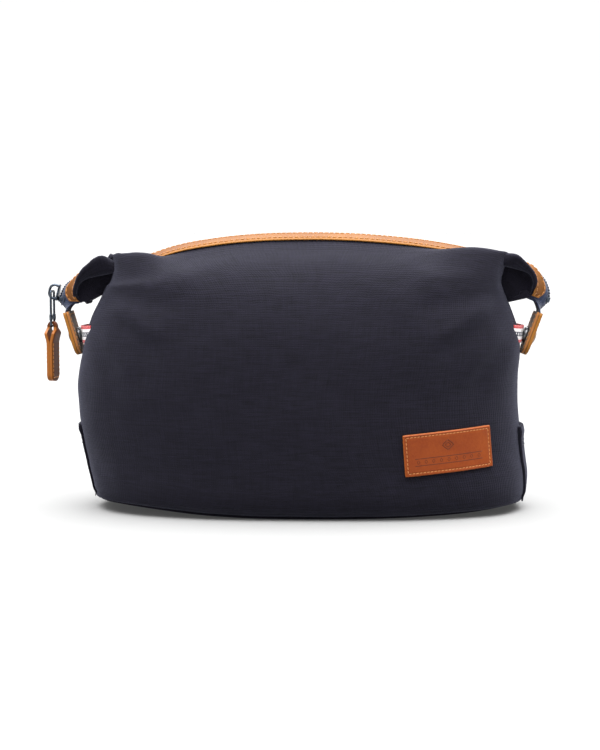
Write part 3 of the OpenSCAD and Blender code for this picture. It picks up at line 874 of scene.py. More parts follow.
def riding_piece(obj, body, slot, *replaced):
    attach(obj, body)
    finish_piece(obj, slot, *replaced)


def lip_piece(obj, face, slot, *replaced):
    with_lip(obj, face)
    finish_piece(obj, slot, *replaced)


def wing_piece(obj, side, slot, *replaced):
    with_wing(obj, side)
    finish_piece(obj, slot, *replaced)


# ---------------------------------------------------------------- canvas body

# The pillowed crest beside each end of the zip: how high, over distances from the middle.
CREST = {LEFT: ([66, 80, 92, 104, 112, 119], [0, 2.8, 9.4, 13.0, 12.9, 10.4]),
         RIGHT: ([58, 76, 90, 104, 118, 124, 131], [0, 2.2, 6.4, 8.8, 8.6, 6.4, 3.0])}
# The back's crests stand lower, out of the front view.
BACK_SHARE = 0.6
# Above this row the skin is drawn under the leather strip.
TUCK_V = 0.945


def top_slack(p, v):
    """Moves the top of the skin with the slack band, and pillows it beside the folded ends."""
    x = p[..., 0]
    rise = np.zeros_like(x)
    for side in (LEFT, RIGHT):
        on = side * x >= 0
        knots, values = SLACK[side]
        slack = hermite(abs(x), knots, values) * ease((v - 0.80) / 0.18)
        at, height = CREST[side]
        crest = hermite(abs(x), at, height) * np.exp(-((v - 0.955) / 0.05)**2)
        crest = crest * mix(1, BACK_SHARE, ease(p[..., 1] / 20 + 0.5))
        crest = crest * (0.6 + 0.4 * ease(abs(p[..., 1]) / 12))
        rise = np.where(on, slack + crest, rise)
    p[..., 2] += rise
    return p


def skin_point(turn, v, out=0.0):
    """A point of the whole skin. Its top edge is tucked under the leather strip."""
    p = body_point(turn, v, out)
    turn, v = (np.broadcast_to(np.asarray(a, float), p.shape[:-1]) for a in (turn, v))
    drawn = ring(turn, v)
    p = top_slack(p, v)
    if v.max() <= TUCK_V:
        return p
    share = np.clip((v - TUCK_V) / (1 - TUCK_V), 0, 1)
    weight = ease(share / 0.5) * (1 - ease((abs(drawn[..., 0]) - 100) / 8))
    for side in (LEFT, RIGHT):
        for face in (FRONT, BACK):
            on = (side * drawn[..., 0] >= 0) & (face * drawn[..., 1] > 0) & (weight > 0)
            q = abs(drawn[..., 0][on])
            if len(q):
                w = strip_width(q) + 1.6 - 6.5 * share[on]
                under = strip_point(side, face, q, w, -LEATHER_T / 2 - 0.2 + np.minimum(out, 0))
                p[on] = mix(p[on], under, weight[on][:, None])
    return p


def skin_grid(face, top=1.0, out=0.0, nu=190, nv=120, low=0.0):
    """One half of the skin, from its row low to its row top."""
    turns = (0 if face == FRONT else 180) + 90 * np.linspace(-1, 1, count(nu))
    return skin_point(turns[:, None], np.linspace(low, top, count(nv))[None, :], out)


def front_only(face, *names):
    """The nodes that both halves of a piece replace are named once, with the front half."""
    return names if face == FRONT else ()


def make_body():
    for face, word in FACES:
        obj = grid_object(word + "_canvas", skin_grid(face), CANVAS)
        thicken(obj, CANVAS_T)
        lip_piece(obj, face, "canvas", word + "_panel", word + "_lip_canvas",
                  *front_only(face, "left_shoulder", "right_shoulder"))

        inner = grid_object(word + "_lining", skin_grid(face, 0.96, -CANVAS_T - 0.6, 110, 70, 0.02),
                            LINING)
        thicken(inner, 0.4)
        lip_piece(inner, face, "lining", word + "_lip_lining", *front_only(face, "lining"))

    # The floor of the lining, and the base below it.
    turns = np.radians(np.linspace(0, 360, count(120), endpoint=False))
    shares = np.linspace(0, 1, 24)
    edge = skin_point(np.degrees(turns), 0.02, -CANVAS_T - 1.0)
    low = edge[None] * shares[:, None, None] * (1, 1, 0)
    floor_z = 2.8 + base_lift(low[..., 0], 0) + 0.35 * noise3(low, 30, 5.0)
    low[..., 2] = mix(floor_z, edge[None, :, 2], shares[:, None]**12)
    riding_piece(closed_sweep("lining_floor", low, LINING, caps=False), "bag", "lining")

    edge = skin_point(np.degrees(turns), 0.0, -0.2)
    rings = []
    for share, z in ((0.001, 0.9), (0.5, 0.8), (0.9, 0.4), (0.95, 0.1), (0.965, 0.0), (0.98, 0.3),
                     (0.982, 1.0), (0.96, 1.7), (0.9, 1.8), (0.001, 1.9)):
        ring_now = edge * (share, share, 0)
        ring_now[:, 2] = z + base_lift(ring_now[:, 0], 0)
        rings.append(ring_now)
    riding_piece(closed_sweep("base", np.array(rings), CANVAS), "bag", "canvas", "base_panel")


def make_base_end(side, word):
    """The base turns up over the side seam, hemmed along its top."""
    middle = 90 * side
    turns = middle + (12 if side == RIGHT else 9) * np.linspace(-1, 1, count(40))
    flare = 0.9 if side == RIGHT else 0.2
    rows = np.linspace(0.0, np.interp(50.5, Z_TABLE, V_TABLE), count(60))
    v = rows[None, :]
    top_share = v / rows[-1]
    hem = 0.7 * np.exp(-((top_share - 0.965) / 0.03)**2)
    outer = skin_point(turns[:, None], v, 1.3 + hem + flare * top_share**2)
    inner = skin_point(turns[:, None], v, 0.15 + flare * top_share**4 * 0.5)
    riding_piece(solid_grid(word + "_base_flap", outer, inner, CANVAS), "bag", "canvas",
                 word + "_base_end")
    seam = []
    for share in (0.90, 0.865):
        p = skin_point(turns[2:-2], rows[-1] * share, 1.45 + flare * share**2)
        seam.append((p, unit(p * (1, 1, 0))))
    riding_piece(stitches(word + "_flap_thread", seam, DARK_THREAD, lift=-0.05), "bag", "thread")


make_body()
for base_side, base_word in SIDES:
    make_base_end(base_side, base_word)


# ---------------------------------------------------------------- zip band

def strip_section(side, face, q):
    """The rounded outline of a leather strip at q, as (along, around, 3)."""
    q = np.asarray(q, float)[:, None]
    width = strip_width(q)
    half = LEATHER_T / 2
    a = np.linspace(0, 1, 7)[None, :]
    rounding = abs(2 * a - 1)**8
    top = half + 0.25 * np.sin(math.pi * a) - 0.5 * rounding
    flat = 0 * width
    w = np.concatenate([width * a, width + 0.25, width * a[:, ::-1], flat - 0.25], 1)
    t = np.concatenate([top + flat, flat, 0.3 * rounding - half + flat, flat], 1)
    return strip_point(side, face, q, w, t), w / width


def tape_section(side, face, q):
    """Zip tape from the coil to 4 mm under its strip."""
    q = np.asarray(q, float)[:, None]
    flat = 0 * q
    first = band_point(side, q, flat - 0.35, face * 1.7)[:, 0]
    edge, last = (strip_point(side, face, q, flat + w, flat - 1.35)[:, 0] for w in (-0.8, 4.0))
    middle = mix(first, edge, 0.5) + 0.08 * (first - last)
    path = np.stack([first, middle, edge, mix(edge, last, 0.5), last], 1)
    along = np.gradient(path, axis=0)
    across = np.gradient(path, axis=1)
    normal = unit(np.cross(along, across))
    top, low = path + normal * 0.35, path - normal * 0.35
    return np.concatenate([top, low[:, ::-1]], 1)


def coil_mesh(name, side_of, first, last, face):
    """One half of the closed coil: a flattened helix along the band, or over its middle."""
    pitch, wire = 1.5, 0.42
    turns = int(abs(last - first) / pitch)
    t = np.linspace(0, 1, turns * (8 if FINE < 1 else 10))
    q = first + (last - first) * t
    a = 2 * math.pi * turns * t + (0 if face == FRONT else math.pi)
    rise, y = 0.72 * np.sin(a) - 0.55, face * (1.15 + 0.95 * np.cos(a))
    if side_of is None:
        path = np.where((q < 0)[:, None], band_point(LEFT, q, rise, y),
                        band_point(RIGHT, q, rise, y))
    else:
        path = band_point(side_of, q, rise + 0.45 * ease((fold_turn(q) - 45) / 20), y)
    along = unit(np.gradient(path, axis=0))
    side = unit(np.cross(along, (0, 1, 0.01)))
    up = np.cross(side, along)
    b = np.linspace(0, 2 * math.pi, 6, endpoint=False)
    sections = (path[:, None] + wire * (np.cos(b)[None, :, None] * side[:, None]
                                        + np.sin(b)[None, :, None] * up[:, None]))
    return closed_sweep(name, sections, COIL)


def both_sides(function, q):
    """Runs a band function for q below and above the middle of the bag."""
    q = np.asarray(q, float)
    left, right = function(LEFT, q), function(RIGHT, q)
    if isinstance(left, tuple):
        return (np.where((q < 0)[:, None, None], left[0], right[0]), left[1])
    return np.where((q < 0)[:, None, None], left, right)


STITCH_HEIGHTS = (LEATHER_T / 2 + 0.18, LEATHER_T / 2 + 1.2)
SEAM_IN, SEAM_OUT = 1.7, 1.8


def strip_rim(across):
    """How near each point is to a strip's cut edges, from 0 to 1."""
    return np.maximum(1 - across / 0.07, (across - 0.93) / 0.07)


def make_top_band():
    q = np.linspace(-BAND_SPLIT, BAND_SPLIT, count(150))
    for face, word in FACES:
        section, across = both_sides(lambda side, s: strip_section(side, face, s), q)
        obj = closed_sweep(word + "_strip", section, LEATHER)
        edge_attribute(obj, np.clip(strip_rim(across), 0, 1) * 0.8)
        lip_piece(obj, face, "leather", word + "_trim", *front_only(face, "shoulder_trim"))

        section = both_sides(lambda side, s: tape_section(side, face, s), q)
        lip_piece(closed_sweep(word + "_tape", section, TAPE), face, "zip_tape",
                  word + "_zip_tape", *front_only(face, "shoulder_tape"))

        lip_piece(coil_mesh(word + "_coil", None, -BAND_SPLIT, BAND_SPLIT, face), face,
                  "zip_coil", word + "_zip_coil", *front_only(face, "shoulder_coil"))

        rows = []
        for w in (SEAM_IN, TRIM_W - SEAM_OUT):
            points, tops = (both_sides(lambda side, s: strip_point(
                side, face, s[:, None], np.array([[w]]), np.array([[t]])), q)[:, 0]
                for t in STITCH_HEIGHTS)
            rows.append((points, unit(tops - points)))
        lip_piece(stitches(word + "_strip_thread", rows, THREAD), face, "thread")


def make_wing_band(side, word):
    q = np.linspace(BAND_SPLIT, STRIP_END_Q, count(90))
    q_tape = np.linspace(BAND_SPLIT, END_Q, count(90))
    for face, tag in FACES:
        section, across = strip_section(side, face, q)
        obj = closed_sweep(word + "_wing_strip_" + tag, section, LEATHER)
        rim = np.maximum(strip_rim(across), (np.linspace(0, 1, len(q)) > 0.985)[:, None])
        edge_attribute(obj, np.clip(rim, 0, 1) * 0.8)
        wing_piece(obj, side, "leather", *front_only(face, word + "_wing_trim"))

        obj = closed_sweep(word + "_wing_tape_" + tag, tape_section(side, face, q_tape), TAPE)
        wing_piece(obj, side, "zip_tape", *front_only(face, word + "_wing_tape"))

        obj = coil_mesh(word + "_wing_coil_" + tag, side, BAND_SPLIT, END_Q - 1.5, face)
        wing_piece(obj, side, "zip_coil", *front_only(face, word + "_wing_coil"))

        rows = []
        for width in (SEAM_IN + 0 * q, strip_width(q) - SEAM_OUT):
            points, tops = (strip_point(side, face, q[:, None], width[:, None],
                                        t + 0 * q[:, None])[:, 0] for t in STITCH_HEIGHTS)
            rows.append((points, unit(tops - points)))
        wing_piece(stitches(word + "_wing_thread_" + tag, rows, THREAD), side, "thread")


make_top_band()
for band_side, band_word in SIDES:
    make_wing_band(band_side, band_word)


# ---------------------------------------------------------------- the folded ends' canvas

# Crest of canvas beside the strip: how far past its edge and how high above it, over fold angles.
EAR_TURN = [-90, -45, -30, -18, -4, 8, 18, 30, 40, 56, 100]
EAR_CREST = {
    LEFT: ([-3, -3, -3, 1, 3, 3, 3, 2.6, 1.6, 1.2, 1],
           [-3, -3, 2, 8.8, 9.2, 6.9, 5.4, 2.8, 0.8, 0.4, 0.4]),
    RIGHT: ([-3, -3, -3, -3, -1.5, 3, 3, 1.8, 1.2, 1.2, 1],
            [-3, -3, -1, 1, 4.8, 6.8, 4.8, 1.6, 0.6, 0.5, 0.4])}
# How far the canvas beside the strip stands from the middle, at the same angles.
FLANK = [9, 9, 9, 9.5, 10, 10.5, 10.5, 10.5, 10.5, 10.5, 10]
# Each end's canvas gathers at a point near its hub: how far out from it, and above it.
EAR_ROOT = {LEFT: (-4.0, 6.0), RIGHT: (-3.0, 0.5)}


def ear_profile(side, face, turn, n):
    """From the hub out over the flank and the crest to under the strip, at one fold angle."""
    angles, qs = fold_q(side)
    q = np.array([[max(np.interp(turn, angles, qs), BAND_SPLIT + 1)]])
    width = float(strip_width(q)[0, 0])
    away, high = (hermite(turn, EAR_TURN, v) for v in EAR_CREST[side])
    high = high * (1 if face == FRONT else BACK_SHARE)
    flank = float(hermite(turn, EAR_TURN, FLANK))

    def at_strip(w, t):
        return strip_point(side, face, q, np.array([[w]]), np.array([[t]]))[0, 0]

    crest = at_strip(width + away, float(high))
    root = np.array([side * (HUB[0] + EAR_ROOT[side][0]), 0, HUB[2] + EAR_ROOT[side][1]])

    def at_hub(share, y):
        place = mix(root, crest, share)
        place[1] = face * y
        return place

    tuck = [at_strip(width + 0.6, -0.6 + 0.25 * float(high)), at_strip(width - 2.2, -1.5),
            at_strip(width - 5, -1.6)]
    knots = [at_hub(0.02, 7.0), at_hub(0.3, flank * 0.9), at_hub(0.6, flank),
             at_hub(0.86, flank + 0.4), crest] + tuck
    return spline(knots, np.linspace(0, 1, n))


def make_ear(side, word):
    turns = np.linspace(-78, 93, count(90))
    n = count(44)
    edges = []
    for face, tag in FACES:
        grid = np.array([ear_profile(side, face, t, n) for t in turns])
        grid[..., 1] += face * (0.5 * noise3(grid, 17, 2.0 + side) + 0.25 * noise3(grid, 7, 5.0))
        obj = grid_object(word + "_ear_" + tag, grid, CANVAS, flip=(side * face > 0))
        thicken(obj, 1.1)
        wing_piece(obj, side, "canvas", *front_only(face, word + "_wing_canvas"))
        edges.append(grid[-1, :int(n * 0.80), None])

    # The underside closes the two flanks, dished a little between their rounded edges.
    t = np.linspace(0, 1, count(30))[None, :, None]
    web = mix(*edges, t)
    web[..., 2] -= 0.7 * (1 - abs(2 * t[..., 0] - 1)**6) * (0.6 + 0.4 * abs(2 * t[..., 0] - 1))
    obj = grid_object(word + "_ear_under", web, CANVAS, flip=(side < 0))
    thicken(obj, 1.0, 1.0)
    wing_piece(obj, side, "canvas")


for ear_side, ear_word in SIDES:
    make_ear(ear_side, ear_word)


# ---------------------------------------------------------------- local frames

def rotate_y(points, degrees):
    """A turn about Y that takes +Z towards +X."""
    c, s = math.cos(math.radians(degrees)), math.sin(math.radians(degrees))
    x, y, z = np.moveaxis(points, -1, 0)
    return np.stack([x * c + z * s, y, z * c - x * s], -1)


def rotate_z(points, degrees):
    """A turn about Z that takes +X towards +Y."""
    c, s = math.cos(math.radians(degrees)), math.sin(math.radians(degrees))
    x, y, z = np.moveaxis(points, -1, 0)
    return np.stack([x * c - y * s, x * s + y * c, z], -1)


TAB_HINGE = abs(joint_place("left_tab_lift"))
TAB_LEAN = {LEFT: 16, RIGHT: 20}
EYE = joint_place("puller_swing")
PULL_EYE = joint_place("pull_swing")
PULL_YAW = 10
SNAP_L = 16.5


def in_tab(side, points):
    """From a tab's own frame, with its hinge at the origin and its face towards +X."""
    p = rotate_y(np.asarray(points, float), TAB_LEAN[side]) + TAB_HINGE
    p[..., 1] -= TAB_HINGE[1]
    p[..., 0] *= side
    return p


def at_slider(points):
    """From the fold's frame, with the slider at the top of its arc."""
    return rotate_y(np.asarray(points, float), -math.degrees(SLIDER_A)) + HUB * (-1, 0, 1)


def at_pull(points):
    return rotate_z(np.asarray(points, float), -PULL_YAW) + PULL_EYE


def at_puller(points):
    return rotate_z(np.asarray(points, float), -PULL_YAW) + EYE


def place_verts(obj, function):
    """Moves a piece that was made in a local frame to its place."""
    co = function(rest_points(obj))
    obj.data.vertices.foreach_set("co", (co * MM).ravel())
    obj.data.update()
    return fix_normals(obj)


def inset_path(outline, inset):
    """A closed outline drawn in by the inset all round."""
    tangent = unit(np.roll(outline, -1, 0) - np.roll(outline, 1, 0))
    inward = np.stack([-tangent[:, 1], tangent[:, 0]], -1)
    if np.sum((outline.mean(0) - outline) * inward) < 0:
        inward = -inward
    return outline + inward * inset


def slab(name, outline, x0, x1, material, rounding=0.4):
    """A plate from x0 to x1 with a rounded rim, over an outline of (y, z) points."""
    outline = np.asarray(outline, float)
    rim = [(rounding * (1 - math.sin(a)), rounding * (1 - math.cos(a)))
           for a in np.linspace(0, math.pi / 2, 3)]
    layers = [(x0, 4 * rounding)] + [(x0 + rise, inset) for rise, inset in rim[::-1]]
    layers += [(x1 - rise, inset) for rise, inset in rim] + [(x1, 4 * rounding)]
    sections = [np.column_stack([np.full(len(outline), x), inset_path(outline, inset)])
                for x, inset in layers]
    return closed_sweep(name, np.array(sections), material)


def squircle(a, square):
    """The sides of a rounded square at angles a, each from -1 to 1."""
    c, s = np.cos(a), np.sin(a)
    return np.sign(c) * abs(c)**square, np.sign(s) * abs(s)**square


def tab_outline(width, top, bottom):
    """A strap's face: straight sides with a full rounded end, as (y, z) points."""
    half = width / 2
    y, drop = squircle(np.linspace(0, math.pi, 28), 2 / 2.7)
    y, z = half * y, bottom + half * 0.9 * (1 - drop)
    side = np.linspace(bottom + half * 0.9, top, 10)[1:]
    left = np.column_stack([np.full(len(side), -half), side])
    right = np.column_stack([np.full(len(side), half), side[::-1]])
    cap = np.column_stack([np.linspace(-half, half, 8)[1:-1], np.full(6, top)])
    return np.concatenate([np.column_stack([y, z]), left, cap, right])


def rim_values(obj, low, high):
    """Marks the cut edges of a slab: everything between its two faces."""
    x = rest_points(obj)[:, 0]
    edge_attribute(obj, np.clip(np.minimum(x - low, high - x) / 0.28, 0, 1) * 0.85)


# ---------------------------------------------------------------- tabs, snaps and ribbons

def dome(name, profile, material, around=32):
    """A turned piece about the X axis from (radius, x) points."""
    profile = np.array(profile, float)
    a = np.linspace(0, 2 * math.pi, around, endpoint=False)
    sections = np.array([np.column_stack([np.full(around, x), r * np.cos(a), r * np.sin(a)])
                         for r, x in profile])
    return closed_sweep(name, sections, material)


def tab_piece(obj, side, body, slot, *replaced, at=(0, 0, 0)):
    """Finishes a piece that was made in a tab's own frame."""
    place_verts(obj, lambda p: in_tab(side, p + at))
    riding_piece(obj, body, slot, *replaced)


def make_tab(side, word):
    body = word + "_tab"
    face_x, back_x = 2.0, -1.7
    outline = tab_outline(TAB_W, -1.2, -28)
    for name, x0, x1, material, replaced, slot in (
            ("_leather_face", 0.02, face_x, LEATHER, "_tab_leather", "leather"),
            ("_suede_back", back_x, -0.02, SUEDE, "_tab_backing", "suede")):
        obj = slab(word + name, outline, x0, x1, material)
        rim_values(obj, x0, x1)
        tab_piece(obj, side, body, slot, word + replaced)

    path = inset_path(outline, 1.9)
    path = np.concatenate([path, path[:1]])
    rows = []
    for x, out in ((face_x, 1), (back_x, -1)):
        rows.append((np.column_stack([np.full(len(path), x), path]),
                     np.tile((out, 0.0, 0.0), (len(path), 1))))
    obj = stitches(word + "_tab_thread", rows, THREAD, pitch=2.9, length=2.3)
    tab_piece(obj, side, body, "thread")

    cap = dome(word + "_cap", [(0.01, 0.1), (4.9, 0.1), (5.35, 0.25), (5.45, 0.55), (5.2, 0.85),
                               (4.7, 1.0), (4.5, 0.95), (4.3, 1.05), (3.6, 1.5), (2.4, 1.9),
                               (1.2, 2.1), (0.01, 2.15)], BRASS)
    tab_piece(cap, side, body, "snap_brass", word + "_snap_cap", at=(face_x - 0.1, 0, -SNAP_L))

    rim = back_x - 2.0
    socket = dome(word + "_socket", [(2.6, rim + 1.9), (2.6, rim + 0.5), (3.1, rim + 0.25),
                                     (3.6, rim + 0.5), (4.1, rim), (4.6, rim + 0.1),
                                     (4.8, rim + 0.5), (4.8, rim + 1.6), (4.5, rim + 2.0)], STEEL)
    thicken(socket, 0.3)
    tab_piece(socket, side, body, "snap_steel", word + "_snap_socket", at=(0, 0, -SNAP_L))


def make_ribbon(side, word):
    """The striped ribbon that holds the snap's stud, sewn to the side seam at both ends."""
    flange = -4.1
    reach = 44 if side == LEFT else 41.5
    radius = 26.0
    a = np.radians(np.linspace(-reach - 3, reach + 3, count(60)))[:, None]
    z = np.linspace(-RIBBON_W / 2, RIBBON_W / 2, count(18))[None, :]
    ripple = 0.22 * np.sin(a * 9 + z * 0.25) * (abs(a) / np.radians(reach))
    bulge = radius + ripple

    def layer(depth):
        x = flange - radius + (bulge - depth) * np.cos(a)
        return np.stack(np.broadcast_arrays(x, (bulge - depth) * np.sin(a), z - SNAP_L), -1)

    # The ribbon hangs more upright than the tab it meets.
    pivot = np.array([flange, 0, -SNAP_L])
    obj = solid_grid(word + "_stripe", layer(0.0), layer(0.85), RIBBON)
    place_verts(obj, lambda p: in_tab(side, rotate_y(p - pivot, -0.6 * TAB_LEAN[side]) + pivot))
    riding_piece(obj, "bag", "ribbon", word + "_ribbon")

    stud = dome(word + "_stud", [(0.01, flange - 1.2), (1.6, flange - 1.2), (1.6, flange),
                                 (4.2, flange), (4.4, flange + 0.2), (4.2, flange + 0.5),
                                 (2.5, flange + 0.6), (1.9, flange + 0.9), (2.1, flange + 1.3),
                                 (2.4, flange + 1.6), (2.0, flange + 1.9), (0.01, flange + 2.0)],
                STEEL, 24)
    tab_piece(stud, side, "bag", "snap_steel", word + "_snap_stud", word + "_stud_back",
              at=(0, 0, -SNAP_L))
    plate = dome(word + "_stud_plate", [(0.01, flange - 1.7), (3.2, flange - 1.7),
                                        (3.4, flange - 1.5), (3.2, flange - 1.2),
                                        (0.01, flange - 1.2)], STEEL, 24)
    tab_piece(plate, side, "bag", "snap_steel", at=(0, 0, -SNAP_L))


def make_tail(side, word):
    """The zip tape's end runs down from the fold and is sewn into the tab."""
    top = []
    for w in np.linspace(1, -1, 15):
        outer = tape_section(side, FRONT if w > 0 else BACK, (END_Q - 3.5, END_Q - 2.5))[1, :5]
        top.append(spline(outer, abs(w)) * (1, abs(w) > 0.01, 1))
    top = np.array(top)
    y = np.linspace(-1, 1, 15) * (TAB_W / 2 - 1.4)
    low_a = in_tab(side, np.column_stack([np.zeros(15), y, np.full(15, -0.6)]))
    low_b = in_tab(side, np.column_stack([np.zeros(15), y, np.full(15, -4.0)]))
    middle = mix(top, low_a, 0.5) + np.array([side * 0.8, 0, 0.4])
    t = np.linspace(0, 1, count(26))
    grid = np.array([spline([top[k], middle[k], low_a[k], low_b[k]], t) for k in range(15)])
    dense = spline(grid, np.linspace(0, 1, count(41)))
    obj = grid_object(word + "_zip_tail", dense, TAPE)
    thicken(obj, 0.7, 0.0)
    hinge = TAB_HINGE * (side, 0, 1)
    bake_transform(obj, word + "_wing", word + "_tab", start=tuple((hinge + (0, 0, 2.0)) * MM),
             end=tuple((hinge + (0, 0, -2.4)) * MM))
    finish_piece(obj, "zip_tape")


for tab_side, tab_word in SIDES:
    make_tab(tab_side, tab_word)
    make_ribbon(tab_side, tab_word)
    make_tail(tab_side, tab_word)


# ---------------------------------------------------------------- slider, puller and pull

def tube(path, radius, around=12, closed=False):
    """Round wire along a path of points, kept from twisting as it turns."""
    path = np.asarray(path, float)
    if closed:
        along = unit(np.roll(path, -1, 0) - np.roll(path, 1, 0))
    else:
        along = unit(np.gradient(path, axis=0))
    side = np.zeros_like(along)
    reference = np.array([0.3, 0.5, 0.81])
    for i, d in enumerate(along):
        reference = reference - d * (reference @ d)
        reference = reference / np.linalg.norm(reference)
        side[i] = reference
    up = np.cross(along, side)
    a = np.linspace(0, 2 * math.pi, around, endpoint=False)
    radius = np.broadcast_to(radius, len(path))[:, None, None]
    return path[:, None] + radius * (np.cos(a)[None, :, None] * side[:, None]
                                     + np.sin(a)[None, :, None] * up[:, None])


def make_slider():
    """A plate on each side of the coil, the post between them and the crown on top."""
    slot, plate = COIL_R + 0.35, 1.1
    shape = np.array([(-4.9, 0), (-4.9, 3.6), (-4.2, 4.4), (-2.4, 4.6), (-0.6, 4.2), (1.6, 3.4),
                      (3.6, 3.0), (4.6, 2.6), (5.0, 1.6), (5.0, 0)])
    shape = spline(shape, np.linspace(0, 1, 30))
    outline = np.concatenate([shape, shape[::-1][1:-1] * (1, -1)])
    post = [(-0.25, -4.8), (0.25, -4.8), (0.25, -2.8), (-0.25, -2.8)]
    parts = []
    for name, face, z0, z1, rounding in (
            ("plate", outline[:, ::-1], FOLD_R + slot, FOLD_R + slot + plate, 0.35),
            ("plate", outline[:, ::-1], FOLD_R - slot - 0.6 - plate, FOLD_R - slot - 0.6, 0.35),
            ("post", post, FOLD_R - slot - 0.8, FOLD_R + slot + 0.2, 0.03)):
        part = slab(name, face, z0, z1, GUNMETAL, rounding)
        parts.append(place_verts(part, lambda p: at_slider(p[:, [2, 1, 0]])))
    # The crown is a bridge bent from strip, open underneath for the puller's eye.
    crown_z = np.hypot(*(EYE - HUB * (-1, 0, 1))[[0, 2]])
    half = np.array([(3.7, -3.5), (4.1, -1.6), (3.7, 0.2), (2.2, 1.35), (0, 1.65)])
    half = np.concatenate([half, half[-2::-1] * (-1, 1)])
    bridge = spline(half, np.linspace(0, 1, 34))
    bridge = np.column_stack([bridge[:, 0], 0 * bridge[:, 0], crown_z + bridge[:, 1]])
    around = np.linspace(0, 2 * math.pi, 12, endpoint=False)
    tangent = unit(np.gradient(bridge, axis=0))
    out = np.cross(tangent, (0, 1, 0))
    sections = (bridge[:, None] + 0.78 * np.cos(around)[None, :, None] * out[:, None]
                + 1.2 * np.sin(around)[None, :, None] * np.array([0, 1.0, 0]))
    crown = closed_sweep("crown", sections, GUNMETAL)
    parts.append(place_verts(crown, at_slider))
    riding_piece(join(parts, "slider"), "slider", "gunmetal", "slider_body")


WIRE_R = 0.72


def make_puller():
    """A long wire ladder: an eye in the slider's crown above, a bar for the leather below."""
    length = float(EYE[2] - PULL_EYE[2])
    half, corner = 2.9, 1.0
    y, top, bottom = half - corner, -corner, corner - length
    path = []
    for quarter, (y, z) in enumerate(((y, top), (-y, top), (-y, bottom), (y, bottom))):
        for a in math.pi / 2 * (quarter + np.linspace(0, 1, 6)):
            path.append((0, y + corner * math.cos(a), z + corner * math.sin(a)))
    path = np.array(path)
    dense = []
    for a, b in zip(path, np.roll(path, -1, 0)):
        steps = max(1, int(np.linalg.norm(b - a) / 1.2))
        dense += [mix(a, b, k / steps) for k in range(steps)]
    sections = tube(dense, WIRE_R, closed=True)
    sections = np.concatenate([sections, sections[:1]])
    frame_wire = closed_sweep("frame_wire", sections, GUNMETAL, caps=False)
    place_verts(frame_wire, at_puller)
    parts = [frame_wire]
    # Each leg thickens into a collar just above the leather.
    for y in (-half, half):
        z = np.linspace(-length + 3.4, -length + 7.2, 12)
        swell = WIRE_R + 0.34 * np.sin(np.linspace(0.05, 0.98, 12) * math.pi)**0.6
        collar = closed_sweep("collar", tube(np.column_stack([0 * z, 0 * z + y, z]), swell),
                              GUNMETAL)
        parts.append(place_verts(collar, at_puller))
    riding_piece(join(parts, "puller"), "puller", "gunmetal", "puller_frame")


PULL_L, PULL_W = 34.0, 13.0
NECK_HALF = 1.85


def pull_z(s):
    """Height of the strap at a share s of the way from its loop to its end."""
    return 0.2 - s * (PULL_L - 0.2)


def pull_width(s):
    """Half width of the strap at the same share."""
    neck = mix(NECK_HALF, PULL_W / 2, ease((s - 0.03) / 0.12))
    end = np.sqrt(np.clip(1 - np.clip((s - 0.86) / 0.14, 0, 1)**2.6, 0, 1))
    return np.maximum(neck * end, 0.05)


def make_pull():
    """One strap looped over the puller's bar, its leaves parting above the stitching."""
    n, m = count(90), 13
    loop, thick = 1.25, 1.95
    across = np.linspace(-1, 1, m)
    s = np.linspace(0, 1, n)
    z = pull_z(s)
    parting = 2.5 * np.where(s < 0.10, np.exp(-((s - 0.10) / 0.11)**2),
                             1 - ease((s - 0.10) / 0.24))
    gap = 0.05 + np.maximum(parting * 0.62, (loop - 0.05) * np.exp(-(s / 0.06)**2))
    half = pull_width(s)
    parts = []
    for leaf in (-1, 1):
        sections = []
        for i in range(n):
            y = half[i] * across
            far = leaf * (gap[i] + thick - 0.35 * (abs(y) / max(half[i], 0.1))**6)
            outer = np.column_stack([far, y, np.full(m, z[i])])
            inner = np.column_stack([np.full(m, leaf * gap[i]), y[::-1], np.full(m, z[i])])
            sections.append(np.concatenate([outer, inner]))
        obj = closed_sweep("leaf", np.array(sections), PULL_LEATHER)
        edge_attribute(obj, np.tile(abs(across) > 0.9, (n, 2)) * 0.9)
        parts.append(obj)
    # The loop over the bar joins the two leaves.
    y = NECK_HALF * np.linspace(-1, 1, 7)
    sections = []
    for angle in np.linspace(-0.1 * math.pi, 1.1 * math.pi, 22):
        c, s = math.cos(angle), math.sin(angle)
        rows = ((r * c + 0 * y, across_y, r * s + 0 * y)
                for r, across_y in ((loop + 1.5, y), (loop, y[::-1])))
        sections.append(np.concatenate([np.column_stack(row) for row in rows]))
    bend = closed_sweep("bend", np.array(sections), PULL_LEATHER)
    edge_attribute(bend, np.zeros(len(bend.data.vertices)))
    parts.append(bend)
    strap = join(parts, "pull_strap")
    place_verts(strap, at_pull)
    bevel(strap, 0.18)
    riding_piece(strap, "pull", "pull_leather", "pull_leather")

    s = np.linspace(0.30, 0.93, 60)
    rows = []
    for leaf in (-1, 1):
        right = np.column_stack([np.full(60, leaf * 2.0), pull_width(s) - 1.5, pull_z(s)])
        left = right * (1, -1, 1)
        rows.append((np.concatenate([right, left[::-1]]), np.tile((leaf, 0.0, 0.0), (120, 1))))
    obj = stitches("pull_stitches", rows, THREAD, pitch=2.6, length=2.1)
    place_verts(obj, at_pull)
    riding_piece(obj, "pull", "thread", "pull_thread")


